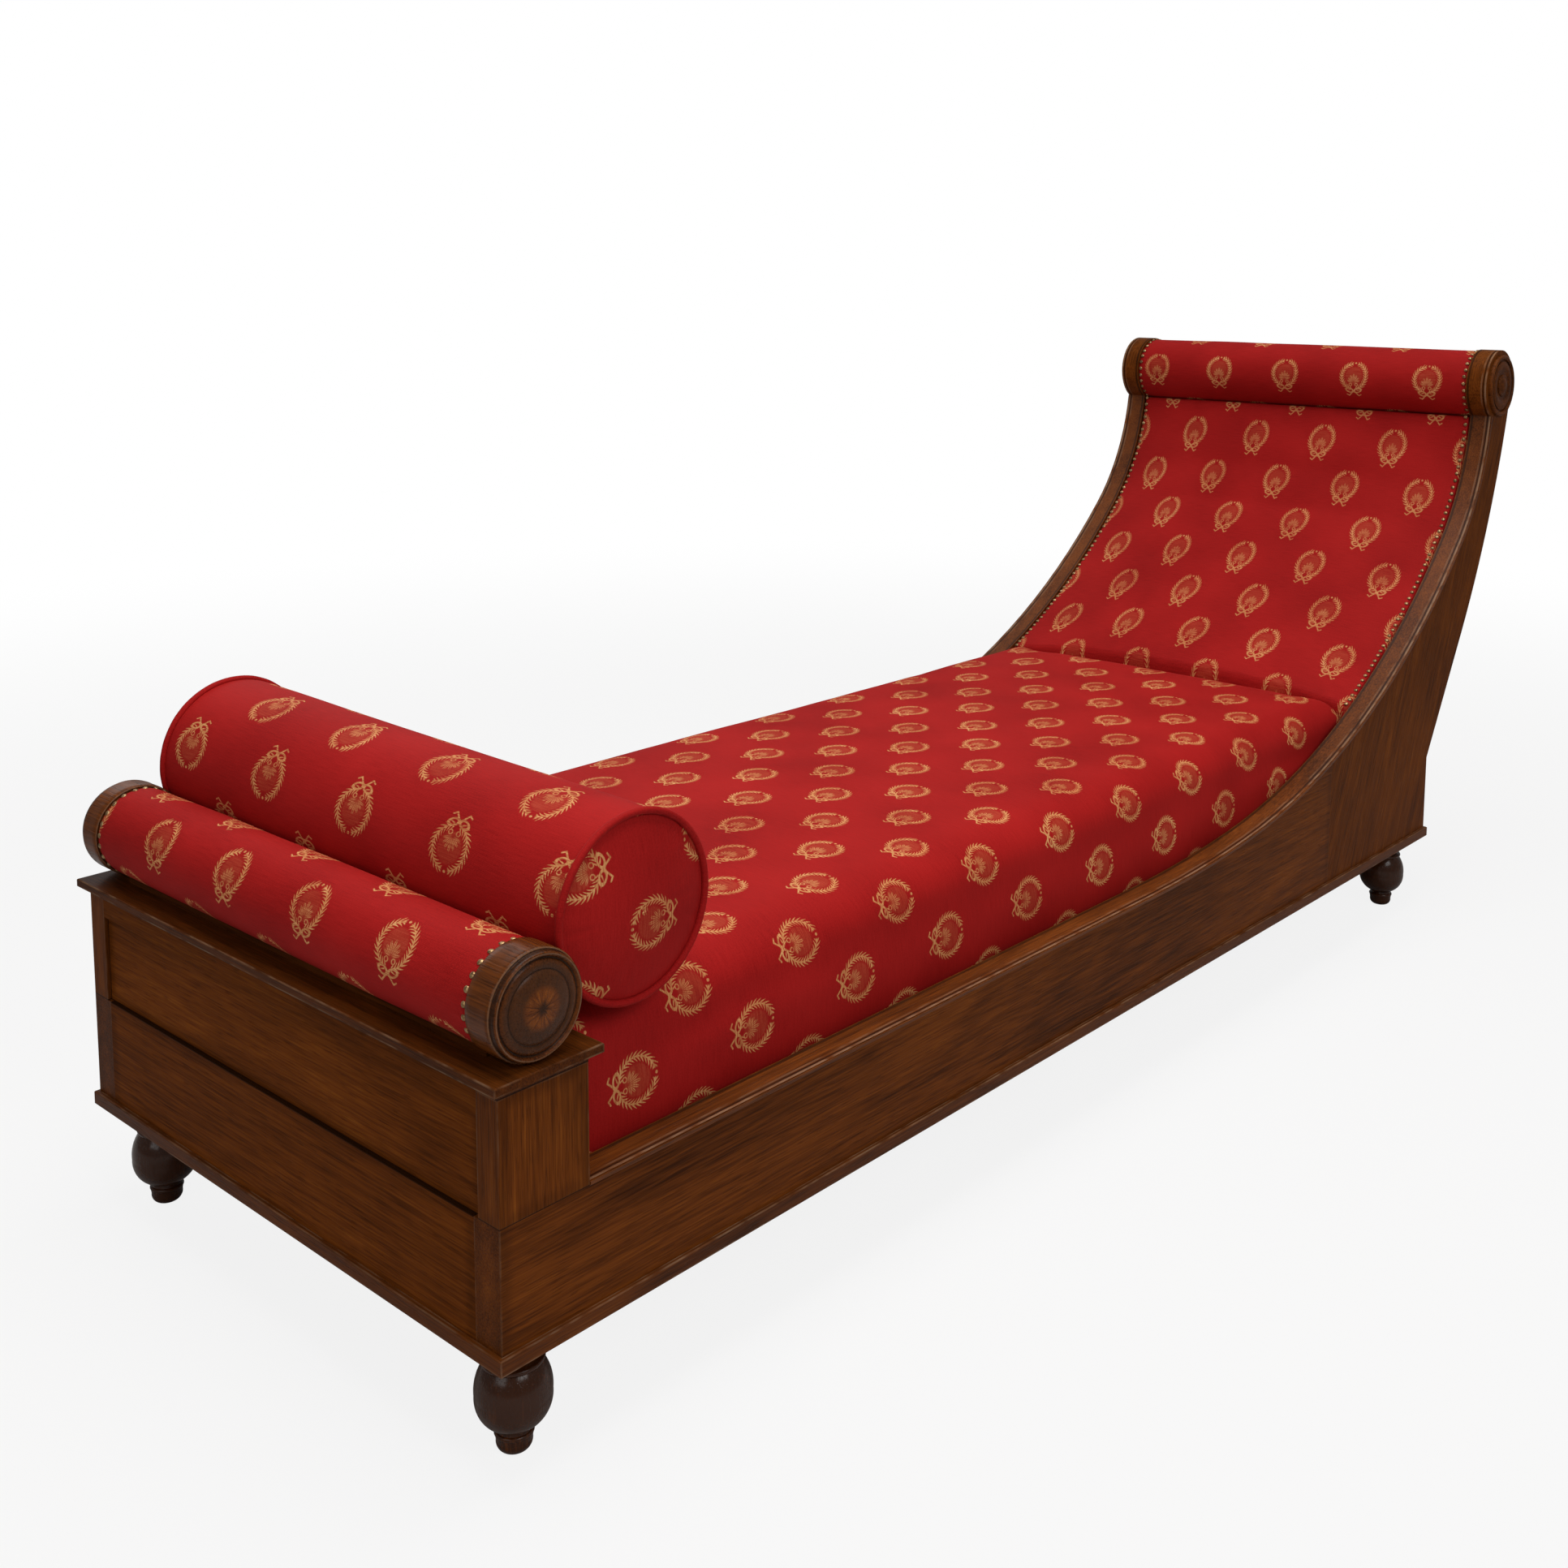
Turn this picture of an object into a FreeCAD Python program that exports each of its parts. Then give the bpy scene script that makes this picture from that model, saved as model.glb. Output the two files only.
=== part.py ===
import FreeCAD
import Part
import math
import os

from FreeCAD import Vector

# Scroll-end daybed. X runs from the low foot end to the high head end, Y from the
# front to the back, Z up from the floor. Sizes are in millimetres.

# Base frame
base_length = 1820.0
base_depth = 690.0
foot_height = 110.0
rail_height = 128.0
board_thickness = 34.0
end_rail_thickness = 28.0
joint_from_head = 340.0
joint_dowel_radius = 6.0
joint_dowel_length = 70.0
joint_dowel_edge = 28.0

# Moulded strip on the top edge of the side boards
strip_thickness = 5.0
strip_nose = 1.5
strip_bead = 3.4

# Sweep of the side boards, seen from the side: three tangent arcs
sweep_radius_low = 2250.0
sweep_radius_mid = 1147.0
sweep_radius_high = 344.0
sweep_angle_low = math.radians(6.2)
sweep_angle_mid = math.radians(44.6)
sweep_angle_high = math.radians(82.5)

# Rear edge of the scroll arms
rear_rake = math.radians(57.5)
rear_straight = 215.0
rear_meet = math.radians(14.0)

# Head roll at the top of the scroll arms, its axis set out from the rear of the base
head_overhang = 227.0092
head_rim_radius = 58.0
head_axis_right = 30.0
head_axis_up = 44.0
head_fabric_radius = 55.5
head_fabric_swell = 1.2
core_radius = 26.0
core_socket = 12.0
cover_thickness = 2.0
rosette_radius = 50.0
rosette_proud = 6.5
rosette_dome = 3.0

# Base moulding
moulding_height = 14.0
moulding_proud = 4.5
moulding_round = 2.0

# Box at the foot end
post_width = 94.0
post_thickness = 28.0
box_height = 110.0
top_rail_height = 19.0
panel_recess = 4.0
panel_thickness = 10.0
inner_board_thickness = 14.0
lining_thickness = 9.0
cap_thickness = 8.0
cap_overhang = 9.5
cap_round = 1.6
cove_height = 8.0

# Foot roll on the box
foot_roll_inset = 43.0
foot_cap_radius = 53.0
foot_cap_drum = 51.0
foot_cap_length = 50.0
foot_cap_proud = 8.0
foot_ring_width = 8.0
foot_ring_bulge = 0.01
foot_ring_taper = 1.5
foot_groove_width = 2.0
foot_groove_depth = 2.5
foot_fabric_radius = 49.0
foot_fabric_swell = 1.0
roll_rest_width = 42.0
roll_rest_gap = 0.4

# Turned feet and their corner pads
foot_inset = 46.0
pad_width = 76.0
pad_height = 14.0
pad_cove = 11.0
ball_radius = 33.5
toe_radius = 16.5
neck_radius = 25.0
waist_radius = 14.0
spigot_radius = 9.0
spigot_length = 44.0
spigot_clearance = 0.2
block_width = 74.0
block_height = 42.0

# Seat
seat_top = 365.0
seat_crown = 5.0
seat_gap = 3.0
seat_edge_round = 40.0
seat_end_round = 26.0
seat_side_swell = 1.5
seat_from_head = 218.0
seat_end_gap = 0.6
seat_frame_bottom = 176.0
seat_frame_height = 24.0
seat_frame_width = 42.0
seat_crossbars = 3
webbing_thickness = 1.8
webbing_width = 52.0
seat_cross_straps = 11
seat_long_straps = 4
ledger_width = 30.0
ledger_height = 26.0
bearer_width = 46.0
bearer_count = 3

# Upholstered back
back_gap = 1.5
back_crown = 20.0
back_edge_sink = 1.0
back_thickness = 32.0
back_foot_gap = 2.0
back_strap_count = 5
back_bar_height = 16.0
back_bar_width = 46.0
back_bar_clearance = 0.5
panel_inset = 3.0
back_panel_thickness = 9.0

# Bolster
bolster_radius = 83.5
bolster_length = 670.0
bolster_end_dome = 12.0
bolster_end_round = 5.0
bolster_belly = 1.0
bolster_clearance = 0.5
bolster_side_clearance = 0.6
bolster_cover = 2.0
piping_radius = 3.4
piping_stand_off = 1.6

# Values that follow from the sizes above
half_depth = base_depth / 2.0
inner_y = half_depth - board_thickness
joint_x = base_length - joint_from_head
seat_end_x = base_length - seat_from_head
base_bottom = foot_height
rail_top = foot_height + rail_height
seam_z = rail_top - strip_thickness
cap_bottom = seam_z + box_height
cap_top = cap_bottom + cove_height + cap_thickness
foot_roll_z = cap_top + foot_cap_radius
foot_roll_half = half_depth + foot_cap_proud - foot_cap_length
seat_start_x = post_width + cap_overhang + 1.0
seat_half = inner_y - seat_gap
webbing_top = seat_frame_bottom + seat_frame_height + 2.0 * webbing_thickness

# The sweep is set out backwards from the head roll, so that the arms keep their neck
head_x = base_length + head_overhang
sweep_run = sweep_radius_low * math.sin(sweep_angle_low)
sweep_run += sweep_radius_mid * (math.sin(sweep_angle_mid) - math.sin(sweep_angle_low))
sweep_run += sweep_radius_high * (math.sin(sweep_angle_high) - math.sin(sweep_angle_mid))
sweep_start = head_x - head_axis_right - sweep_run

sweep_arcs = []
arc_x = sweep_start
arc_z = rail_top
arc_from = 0.0
for arc_radius, arc_to in (
    (sweep_radius_low, sweep_angle_low),
    (sweep_radius_mid, sweep_angle_mid),
    (sweep_radius_high, sweep_angle_high),
):
    centre_x = arc_x - arc_radius * math.sin(arc_from)
    centre_z = arc_z + arc_radius * math.cos(arc_from)
    sweep_arcs.append((centre_x, centre_z, arc_radius, arc_from, arc_to))
    arc_x = centre_x + arc_radius * math.sin(arc_to)
    arc_z = centre_z - arc_radius * math.cos(arc_to)
    arc_from = arc_to

head_z = arc_z + head_axis_up

lowest_x = min(-cap_overhang, foot_roll_inset - foot_cap_radius)
highest_x = head_x + head_rim_radius
origin_x = (lowest_x + highest_x) / 2.0


def wire(path, place):
    # A closed outline. Two numbers are a straight step, four an arc through a point.
    edges = []
    start = place(*path[0])
    here = start
    for step in path[1:]:
        there = place(*step[-2:])
        if len(step) == 4:
            edges.append(Part.Arc(here, place(*step[:2]), there).toShape())
        else:
            edges.append(Part.LineSegment(here, there).toShape())
        here = there
    if here.distanceToPoint(start) > 1e-6:
        edges.append(Part.LineSegment(here, start).toShape())
    return Part.Wire(edges)


def side_plate(path, y_from, y_to):
    # An outline in the X-Z plane, given thickness across the daybed.
    face = Part.Face(wire(path, lambda x, z: Vector(x, y_from, z)))
    return face.extrude(Vector(0, y_to - y_from, 0))


def cross_bar(path, x_from, x_to):
    # An outline in the Y-Z plane, given length along the daybed.
    face = Part.Face(wire(path, lambda y, z: Vector(x_from, y, z)))
    return face.extrude(Vector(x_to - x_from, 0, 0))


def box(x_from, x_to, y_from, y_to, z_from, z_to):
    size = (x_to - x_from, y_to - y_from, z_to - z_from)
    return Part.makeBox(*size, Vector(x_from, y_from, z_from))


def rod_y(x, z, radius, y_from, y_to):
    return Part.makeCylinder(radius, y_to - y_from, Vector(x, y_from, z), Vector(0, 1, 0))


def turned_y(path, x, z, y_base, outward):
    # A turned piece whose axis runs front to back: radius, then distance outward.
    face = Part.Face(wire(path, lambda r, t: Vector(x + r, y_base + outward * t, z)))
    return face.revolve(Vector(x, y_base, z), Vector(0, 1, 0), 360)


def turned_z(path, x, y):
    # An upright turned piece: radius, then height.
    face = Part.Face(wire(path, lambda r, h: Vector(x + r, y, h)))
    return face.revolve(Vector(x, y, 0), Vector(0, 0, 1), 360)


def to_back(shape):
    # The same piece on the other long side.
    return shape.mirror(Vector(0, 0, 0), Vector(0, 1, 0))


def save(name, *solids):
    shape = Part.makeCompound(list(solids)) if len(solids) > 1 else solids[0]
    shape = shape.copy()
    shape.translate(Vector(-origin_x, 0, 0))
    shape.exportStep("parts/" + name + ".step")


def sweep_point(angle, inward):
    # A point on the sweep, moved into the board by the given distance.
    for centre_x, centre_z, radius, low, high in sweep_arcs:
        if angle <= high:
            break
    reach = radius + inward
    return (centre_x + reach * math.sin(angle), centre_z - reach * math.cos(angle))


def sweep_steps(inward, angle_from, angle_to):
    # Arc steps along the sweep, uphill or downhill.
    steps = []
    low = min(angle_from, angle_to)
    high = max(angle_from, angle_to)
    for arc in sweep_arcs:
        first = max(low, arc[3])
        last = min(high, arc[4])
        if last - first > 1e-9:
            steps.append((first, last))
    if angle_from > angle_to:
        steps = [(last, first) for first, last in reversed(steps)]
    return [
        sweep_point((first + last) / 2.0, inward) + sweep_point(last, inward)
        for first, last in steps
    ]


def rear_steps(inward):
    # The rear edge of the arm, from the base up to the rim of the head roll.
    away = Vector(-math.sin(rear_rake), 0, math.cos(rear_rake))
    along = Vector(math.cos(rear_rake), 0, math.sin(rear_rake))
    foot = Vector(base_length, 0, rail_top)
    bend = foot + along * rear_straight
    meet = Vector(
        head_x + head_rim_radius * math.cos(rear_meet) * 0.995,
        0,
        head_z + head_rim_radius * math.sin(rear_meet),
    )
    chord = meet - bend
    radius = chord.Length ** 2 / (2.0 * chord.dot(away))
    centre = bend + away * radius
    turn = 2.0 * math.asin(chord.Length / (2.0 * radius))
    reach = radius - inward
    heading = rear_rake - math.pi / 2.0

    def on_arc(share):
        angle = heading + share * turn
        return (centre.x + reach * math.cos(angle), centre.z + reach * math.sin(angle))

    start = foot + away * inward
    return [(start.x, start.z), on_arc(0.0), on_arc(0.5) + on_arc(1.0)]


# Side boards: the long rail and the scroll arm are cut from one outline and meet in
# a dowelled joint.
board_outline = [(0.0, base_bottom), (base_length, base_bottom)]
board_outline += rear_steps(0.0)
board_outline += [sweep_point(sweep_angle_high, strip_thickness)]
board_outline += sweep_steps(strip_thickness, sweep_angle_high, 0.0)
board_outline += [(0.0, seam_z)]

front_board = side_plate(board_outline, -half_depth, -inner_y)
front_board = front_board.fuse(
    rod_y(head_x, head_z, head_rim_radius, -half_depth, -inner_y)
).removeSplitter()
front_board = front_board.cut(
    rod_y(head_x, head_z, core_radius, -inner_y - core_socket, -inner_y)
)

reach = 4.0 * base_length
rail_side = box(-reach, joint_x, -reach, reach, -reach, reach)
arm_side = box(joint_x, reach, -reach, reach, -reach, reach)
front_rail = front_board.common(rail_side)
front_scroll_arm = front_board.common(arm_side)

dowel_y = -half_depth + board_thickness / 2.0
dowel_rise = (rail_height - 2.0 * joint_dowel_edge) / 2.0
joint_dowels = []
for number in range(3):
    dowel_z = base_bottom + joint_dowel_edge + number * dowel_rise
    joint_dowels.append(
        Part.makeCylinder(
            joint_dowel_radius,
            joint_dowel_length,
            Vector(joint_x - joint_dowel_length / 2.0, dowel_y, dowel_z),
            Vector(1, 0, 0),
        )
    )
for dowel in joint_dowels:
    front_rail = front_rail.cut(dowel)
    front_scroll_arm = front_scroll_arm.cut(dowel)

save("front_rail", front_rail)
save("back_rail", to_back(front_rail))
save("front_scroll_arm", front_scroll_arm)
save("back_scroll_arm", to_back(front_scroll_arm))
save("joint_dowels", *joint_dowels, *[to_back(dowel) for dowel in joint_dowels])

# Moulded strip along the top edge of each side board: a flat band with a slim bead
# standing proud of its outer edge
def sweep_band(top, bottom, y_from, y_to):
    path = [(post_width, rail_top - top), (sweep_start, rail_top - top)]
    path += sweep_steps(top, 0.0, sweep_angle_high)
    path += [sweep_point(sweep_angle_high, bottom)]
    path += sweep_steps(bottom, sweep_angle_high, 0.0)
    path += [(post_width, rail_top - bottom)]
    return side_plate(path, y_from, y_to)


bead_top = 0.5 * (strip_thickness - strip_bead)
edge_strip = sweep_band(0.0, strip_thickness, -half_depth, -inner_y)
edge_strip = edge_strip.fuse(
    sweep_band(
        bead_top, bead_top + strip_bead, -half_depth - strip_nose, -half_depth + strip_nose
    )
)
edge_strip = edge_strip.cut(rod_y(head_x, head_z, head_rim_radius, -reach, reach))
save("front_edge_strip", edge_strip)
save("back_edge_strip", to_back(edge_strip))

# Cross rails of the base
save(
    "foot_rail",
    box(0.0, end_rail_thickness, -inner_y, inner_y, base_bottom, seam_z),
)
save(
    "head_rail",
    box(base_length - end_rail_thickness, base_length, -inner_y, inner_y, base_bottom, seam_z),
)


def moulding(corners):
    # A planted moulding with mitred ends, rounded on its upper outer edge.
    bottom = [Vector(x, y, base_bottom) for x, y in corners]
    face = Part.Face(Part.makePolygon(bottom + [bottom[0]]))
    strip = face.extrude(Vector(0, 0, moulding_height))
    middle = (bottom[0] + bottom[1]) * 0.5 + Vector(0, 0, moulding_height)
    top_edge = min(
        strip.Edges, key=lambda edge: edge.CenterOfMass.distanceToPoint(middle)
    )
    return strip.makeFillet(moulding_round, [top_edge])


low_x = -moulding_proud
high_x = base_length + moulding_proud
out_y = half_depth + moulding_proud
front_moulding = moulding(
    [(low_x, -out_y), (high_x, -out_y), (base_length, -half_depth), (0.0, -half_depth)]
)
save("base_moulding_front", front_moulding)
save("base_moulding_back", to_back(front_moulding))
save(
    "base_moulding_foot",
    moulding([(low_x, out_y), (low_x, -out_y), (0.0, -half_depth), (0.0, half_depth)]),
)
save(
    "base_moulding_head",
    moulding(
        [
            (high_x, -out_y),
            (high_x, out_y),
            (base_length, half_depth),
            (base_length, -half_depth),
        ]
    ),
)

# Box at the foot end: two cheeks, a framed sunk panel, an inner board and its lining
cheek_y = half_depth - post_thickness
corner_post = box(0.0, post_width, -half_depth, -cheek_y, seam_z, cap_bottom)
save("front_corner_post", corner_post)
save("back_corner_post", to_back(corner_post))
panel_top = cap_bottom - top_rail_height
save(
    "foot_top_rail",
    box(0.0, end_rail_thickness, -cheek_y, cheek_y, panel_top, cap_bottom),
)
save(
    "foot_panel",
    box(
        panel_recess,
        panel_recess + panel_thickness,
        -cheek_y,
        cheek_y,
        seam_z,
        panel_top,
    ),
)
save(
    "foot_inner_board",
    box(
        post_width - inner_board_thickness,
        post_width,
        -cheek_y,
        cheek_y,
        seam_z,
        cap_bottom,
    ),
)
lining_path = [
    (-seat_half, rail_top),
    (-seat_half, cap_bottom),
    (seat_half, cap_bottom),
    (seat_half, rail_top),
]
lining = cross_bar(lining_path, post_width, post_width + lining_thickness)
save("foot_lining", lining)

# Cap board with a hollow moulding under its overhang
cap = box(
    -cap_overhang,
    post_width + cap_overhang,
    -half_depth - cap_overhang,
    half_depth + cap_overhang,
    cap_top - cap_thickness,
    cap_top,
)
cap_edges = [
    edge for edge in cap.Edges if edge.BoundBox.ZMin > cap_top - 0.5 * cap_thickness
]
save("foot_cap_board", cap.makeFillet(cap_round, cap_edges))


def coved_block(x_from, x_to, y_from, y_to, z_from, z_to, hollow_x, hollow_y):
    # A block whose four sides are hollowed at the bottom, with mitred corners.
    block = box(x_from, x_to, y_from, y_to, z_from, z_to)
    rise = z_to - z_from
    for side_y in (y_from, y_to):
        cutter = Part.makeCylinder(
            1.0, x_to - x_from + 2.0, Vector(0, 0, 0), Vector(1, 0, 0)
        )
        stretch = FreeCAD.Matrix()
        stretch.scale(1.0, hollow_y, rise)
        cutter = cutter.transformGeometry(stretch)
        cutter.translate(Vector(x_from - 1.0, side_y, z_from))
        block = block.cut(cutter)
    for side_x in (x_from, x_to):
        cutter = Part.makeCylinder(
            1.0, y_to - y_from + 2.0, Vector(0, 0, 0), Vector(0, 1, 0)
        )
        stretch = FreeCAD.Matrix()
        stretch.scale(hollow_x, 1.0, rise)
        cutter = cutter.transformGeometry(stretch)
        cutter.translate(Vector(side_x, y_from - 1.0, z_from))
        block = block.cut(cutter)
    return block


cove_margin = 1.0
cove_reach = cap_overhang - cove_margin
cove = coved_block(
    -cove_reach,
    post_width + cove_reach,
    -half_depth - cove_reach,
    half_depth + cove_reach,
    cap_bottom,
    cap_bottom + cove_height,
    cove_reach,
    cove_reach,
)
cove = cove.cut(
    box(
        end_rail_thickness,
        post_width - inner_board_thickness,
        -cheek_y,
        cheek_y,
        cap_bottom - 1.0,
        cap_top,
    )
)
save("foot_cap_cove", cove)

# Foot roll: a core between two turned caps, padded and covered, lying on a rest
foot_axis = (foot_roll_inset, foot_roll_z)


def dome_middle(rim, edge, end):
    # The middle of a shallow dome that runs from its rim to the axis.
    height = end - edge
    radius = (rim ** 2 + height ** 2) / (2.0 * height)
    half_angle = math.asin(rim / abs(radius)) / 2.0
    across = abs(radius) * math.sin(half_angle)
    return (across, end - radius + radius * math.cos(half_angle))


def roll_pieces(name, axis, half_length, fabric_radius, swell):
    cover_inside = fabric_radius - cover_thickness
    cover_path = [
        (cover_inside, -half_length),
        (fabric_radius, -half_length),
        (fabric_radius + swell, 0.0, fabric_radius, half_length),
        (cover_inside, half_length),
        (cover_inside + swell, 0.0, cover_inside, -half_length),
    ]
    save(name + "_cover", turned_y(cover_path, axis[0], axis[1], 0.0, 1.0))
    padding_path = [
        (core_radius, -half_length),
        (cover_inside, -half_length),
        (cover_inside + swell, 0.0, cover_inside, half_length),
        (core_radius, half_length),
    ]
    save(name + "_padding", turned_y(padding_path, axis[0], axis[1], 0.0, 1.0))
    save(
        name + "_core",
        rod_y(axis[0], axis[1], core_radius, -half_length - core_socket, half_length + core_socket),
    )


roll_pieces("foot_roll", foot_axis, foot_roll_half, foot_fabric_radius, foot_fabric_swell)

ring_start = foot_cap_length - foot_cap_proud - 0.5 * foot_ring_width
ring_end = ring_start + foot_ring_width
dome_edge = foot_cap_radius - foot_ring_width
groove_edge = dome_edge + foot_groove_width
groove_floor = ring_end - foot_groove_depth
ring_middle = ring_start + 0.5 * foot_ring_width
foot_cap_path = [
    (0.0, core_socket),
    (core_radius, core_socket),
    (core_radius, 0.0),
    (foot_cap_drum, 0.0),
    (foot_cap_drum, ring_start),
    (foot_cap_radius, ring_start),
    (foot_cap_radius + foot_ring_bulge, ring_middle, foot_cap_radius - foot_ring_taper, ring_end),
    (groove_edge, ring_end),
    (groove_edge, groove_floor),
    (dome_edge, groove_floor),
    dome_middle(dome_edge, groove_floor, foot_cap_length) + (0.0, foot_cap_length),
]
front_cap = turned_y(foot_cap_path, foot_roll_inset, foot_roll_z, -foot_roll_half, -1.0)
save("foot_roll_cap_front", front_cap)
save("foot_roll_cap_back", to_back(front_cap))

rest_half = roll_rest_width / 2.0
roll_rest = box(
    foot_roll_inset - rest_half,
    foot_roll_inset + rest_half,
    -foot_roll_half,
    foot_roll_half,
    cap_top,
    foot_roll_z,
)
hollow_radius = foot_fabric_radius + foot_fabric_swell + roll_rest_gap
roll_rest = roll_rest.cut(
    rod_y(foot_roll_inset, foot_roll_z, hollow_radius, -half_depth, half_depth)
)
save("foot_roll_rest", roll_rest)

# Head roll between the rims of the scroll arms, with a turned rosette on each side
roll_pieces(
    "head_roll", (head_x, head_z), inner_y, head_fabric_radius, head_fabric_swell
)
ring_width = 0.14 * rosette_radius
rosette_top = rosette_proud + rosette_dome
rosette_path = [
    (0.0, 0.0),
    (rosette_radius, 0.0),
    (rosette_radius, 0.55 * rosette_proud),
    (
        rosette_radius - 0.5 * ring_width,
        rosette_proud,
        rosette_radius - ring_width,
        0.55 * rosette_proud,
    ),
    (rosette_radius - ring_width, 0.3 * rosette_proud),
    (rosette_radius - 1.5 * ring_width, 0.3 * rosette_proud),
    (rosette_radius - 1.5 * ring_width, 0.7 * rosette_proud),
    (
        0.62 * rosette_radius,
        0.95 * rosette_proud,
        0.46 * rosette_radius,
        0.6 * rosette_proud,
    ),
    (0.36 * rosette_radius, 0.6 * rosette_proud),
    (0.34 * rosette_radius, rosette_proud, 0.28 * rosette_radius, rosette_proud),
    dome_middle(0.28 * rosette_radius, rosette_proud, rosette_top) + (0.0, rosette_top),
]
rosette = turned_y(rosette_path, head_x, head_z, -half_depth, -1.0)
save("head_rosette_front", rosette)
save("head_rosette_back", to_back(rosette))

# Outer back panel, bent to the rear edge of the arms and closed up to the head roll
panel_outer = rear_steps(panel_inset)
panel_inner = rear_steps(panel_inset + back_panel_thickness)
panel_outline = list(panel_outer)
panel_outline += [panel_inner[2][2:]]
panel_outline += [panel_inner[2][:2] + panel_inner[1]]
panel_outline += [panel_inner[0]]
back_panel = side_plate(panel_outline, -inner_y, inner_y)
roll_clear = head_fabric_radius + head_fabric_swell + roll_rest_gap
back_panel = back_panel.cut(rod_y(head_x, head_z, roll_clear, -reach, reach))
back_panel = back_panel.common(
    box(-reach, reach, -reach, reach, seam_z, reach)
)
save("back_panel", back_panel)

# Upholstered back: a crowned pad that follows the sweep between the arms
back_foot_x = seat_end_x + back_foot_gap
mid_arc = sweep_arcs[1]
strap_back = back_thickness + webbing_thickness
strap_angle_low = math.asin((back_foot_x - mid_arc[0]) / mid_arc[2])
back_angle_low = math.asin((back_foot_x - mid_arc[0]) / (mid_arc[2] + strap_back))
back_angle_high = sweep_angle_high - math.radians(3.0)
back_half = inner_y - back_gap


def back_section(y, rise):
    # The pad seen from the side at one place across its width.
    front = -rise
    path = [sweep_point(back_angle_low, front)]
    path += sweep_steps(front, back_angle_low, back_angle_high)
    path += [sweep_point(back_angle_high, back_thickness)]
    path += sweep_steps(back_thickness, back_angle_high, back_angle_low)
    return wire(path, lambda x, z: Vector(x, y, z))


back_sections = []
for share in (-1.0, -0.86, -0.45, 0.0, 0.45, 0.86, 1.0):
    fullness = 1.0 - abs(share) ** 3.0
    rise = -back_edge_sink + (back_crown + back_edge_sink) * fullness
    back_sections.append(back_section(share * back_half, rise))
back_pad = Part.makeLoft(back_sections, True, False)
back_pad = back_pad.common(box(back_foot_x, reach, -reach, reach, 0.0, reach))
back_pad = back_pad.cut(rod_y(head_x, head_z, roll_clear, -reach, reach))
save("back_pad", back_pad)

strap_space = 2.0 * back_half / back_strap_count
straps = []
for number in range(back_strap_count):
    strap_y = -back_half + (number + 0.5) * strap_space - webbing_width / 2.0
    path = [sweep_point(strap_angle_low, back_thickness)]
    path += sweep_steps(back_thickness, strap_angle_low, back_angle_high)
    path += [sweep_point(back_angle_high, strap_back)]
    path += sweep_steps(strap_back, back_angle_high, strap_angle_low)
    straps.append(side_plate(path, strap_y, strap_y + webbing_width))
save("back_webbing", *straps)


# The bars stay clear of the outer panel, whatever the bend of the arms
panel_face = rear_steps(panel_inset + back_panel_thickness + back_bar_clearance)
behind_outline = list(panel_face)
behind_outline += [(reach, panel_face[2][3]), (reach, panel_face[0][1])]
behind_panel = side_plate(behind_outline, -inner_y, inner_y)


def back_bar(angle):
    # A cross bar behind the webbing, square to the sweep.
    near_x, near_z = sweep_point(angle, strap_back)
    near = Vector(near_x, 0, near_z)
    along = Vector(math.cos(angle), 0, math.sin(angle)) * (back_bar_width / 2.0)
    deep = Vector(math.sin(angle), 0, -math.cos(angle)) * back_bar_height
    corners = [near - along, near + along, near + along + deep, near - along + deep]
    bar = side_plate([(corner.x, corner.z) for corner in corners], -inner_y, inner_y)
    return bar.cut(behind_panel)


low_bar_angle = strap_angle_low + back_bar_width / 2.0 / (mid_arc[2] + strap_back)
high_bar_angle = back_angle_high - back_bar_width / 2.0 / sweep_radius_high
save("back_bottom_bar", back_bar(low_bar_angle))
save("back_top_bar", back_bar(high_bar_angle))

# Ledgers and bearers that carry the loose seat
ledger_top = seat_frame_bottom
ledger_bottom = ledger_top - ledger_height
head_inner_x = base_length - end_rail_thickness
front_ledger = box(
    end_rail_thickness,
    head_inner_x,
    -inner_y,
    -inner_y + ledger_width,
    ledger_bottom,
    ledger_top,
)
save("front_ledger", front_ledger)
save("back_ledger", to_back(front_ledger))
bearer_step = (seat_end_x - seat_start_x) / (bearer_count + 1)
bearers = []
for number in range(bearer_count):
    middle_x = seat_start_x + (number + 1) * bearer_step
    bearers.append(
        box(
            middle_x - bearer_width / 2.0,
            middle_x + bearer_width / 2.0,
            -inner_y + ledger_width,
            inner_y - ledger_width,
            ledger_bottom,
            ledger_top,
        )
    )
save("cross_bearers", *bearers)

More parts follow.
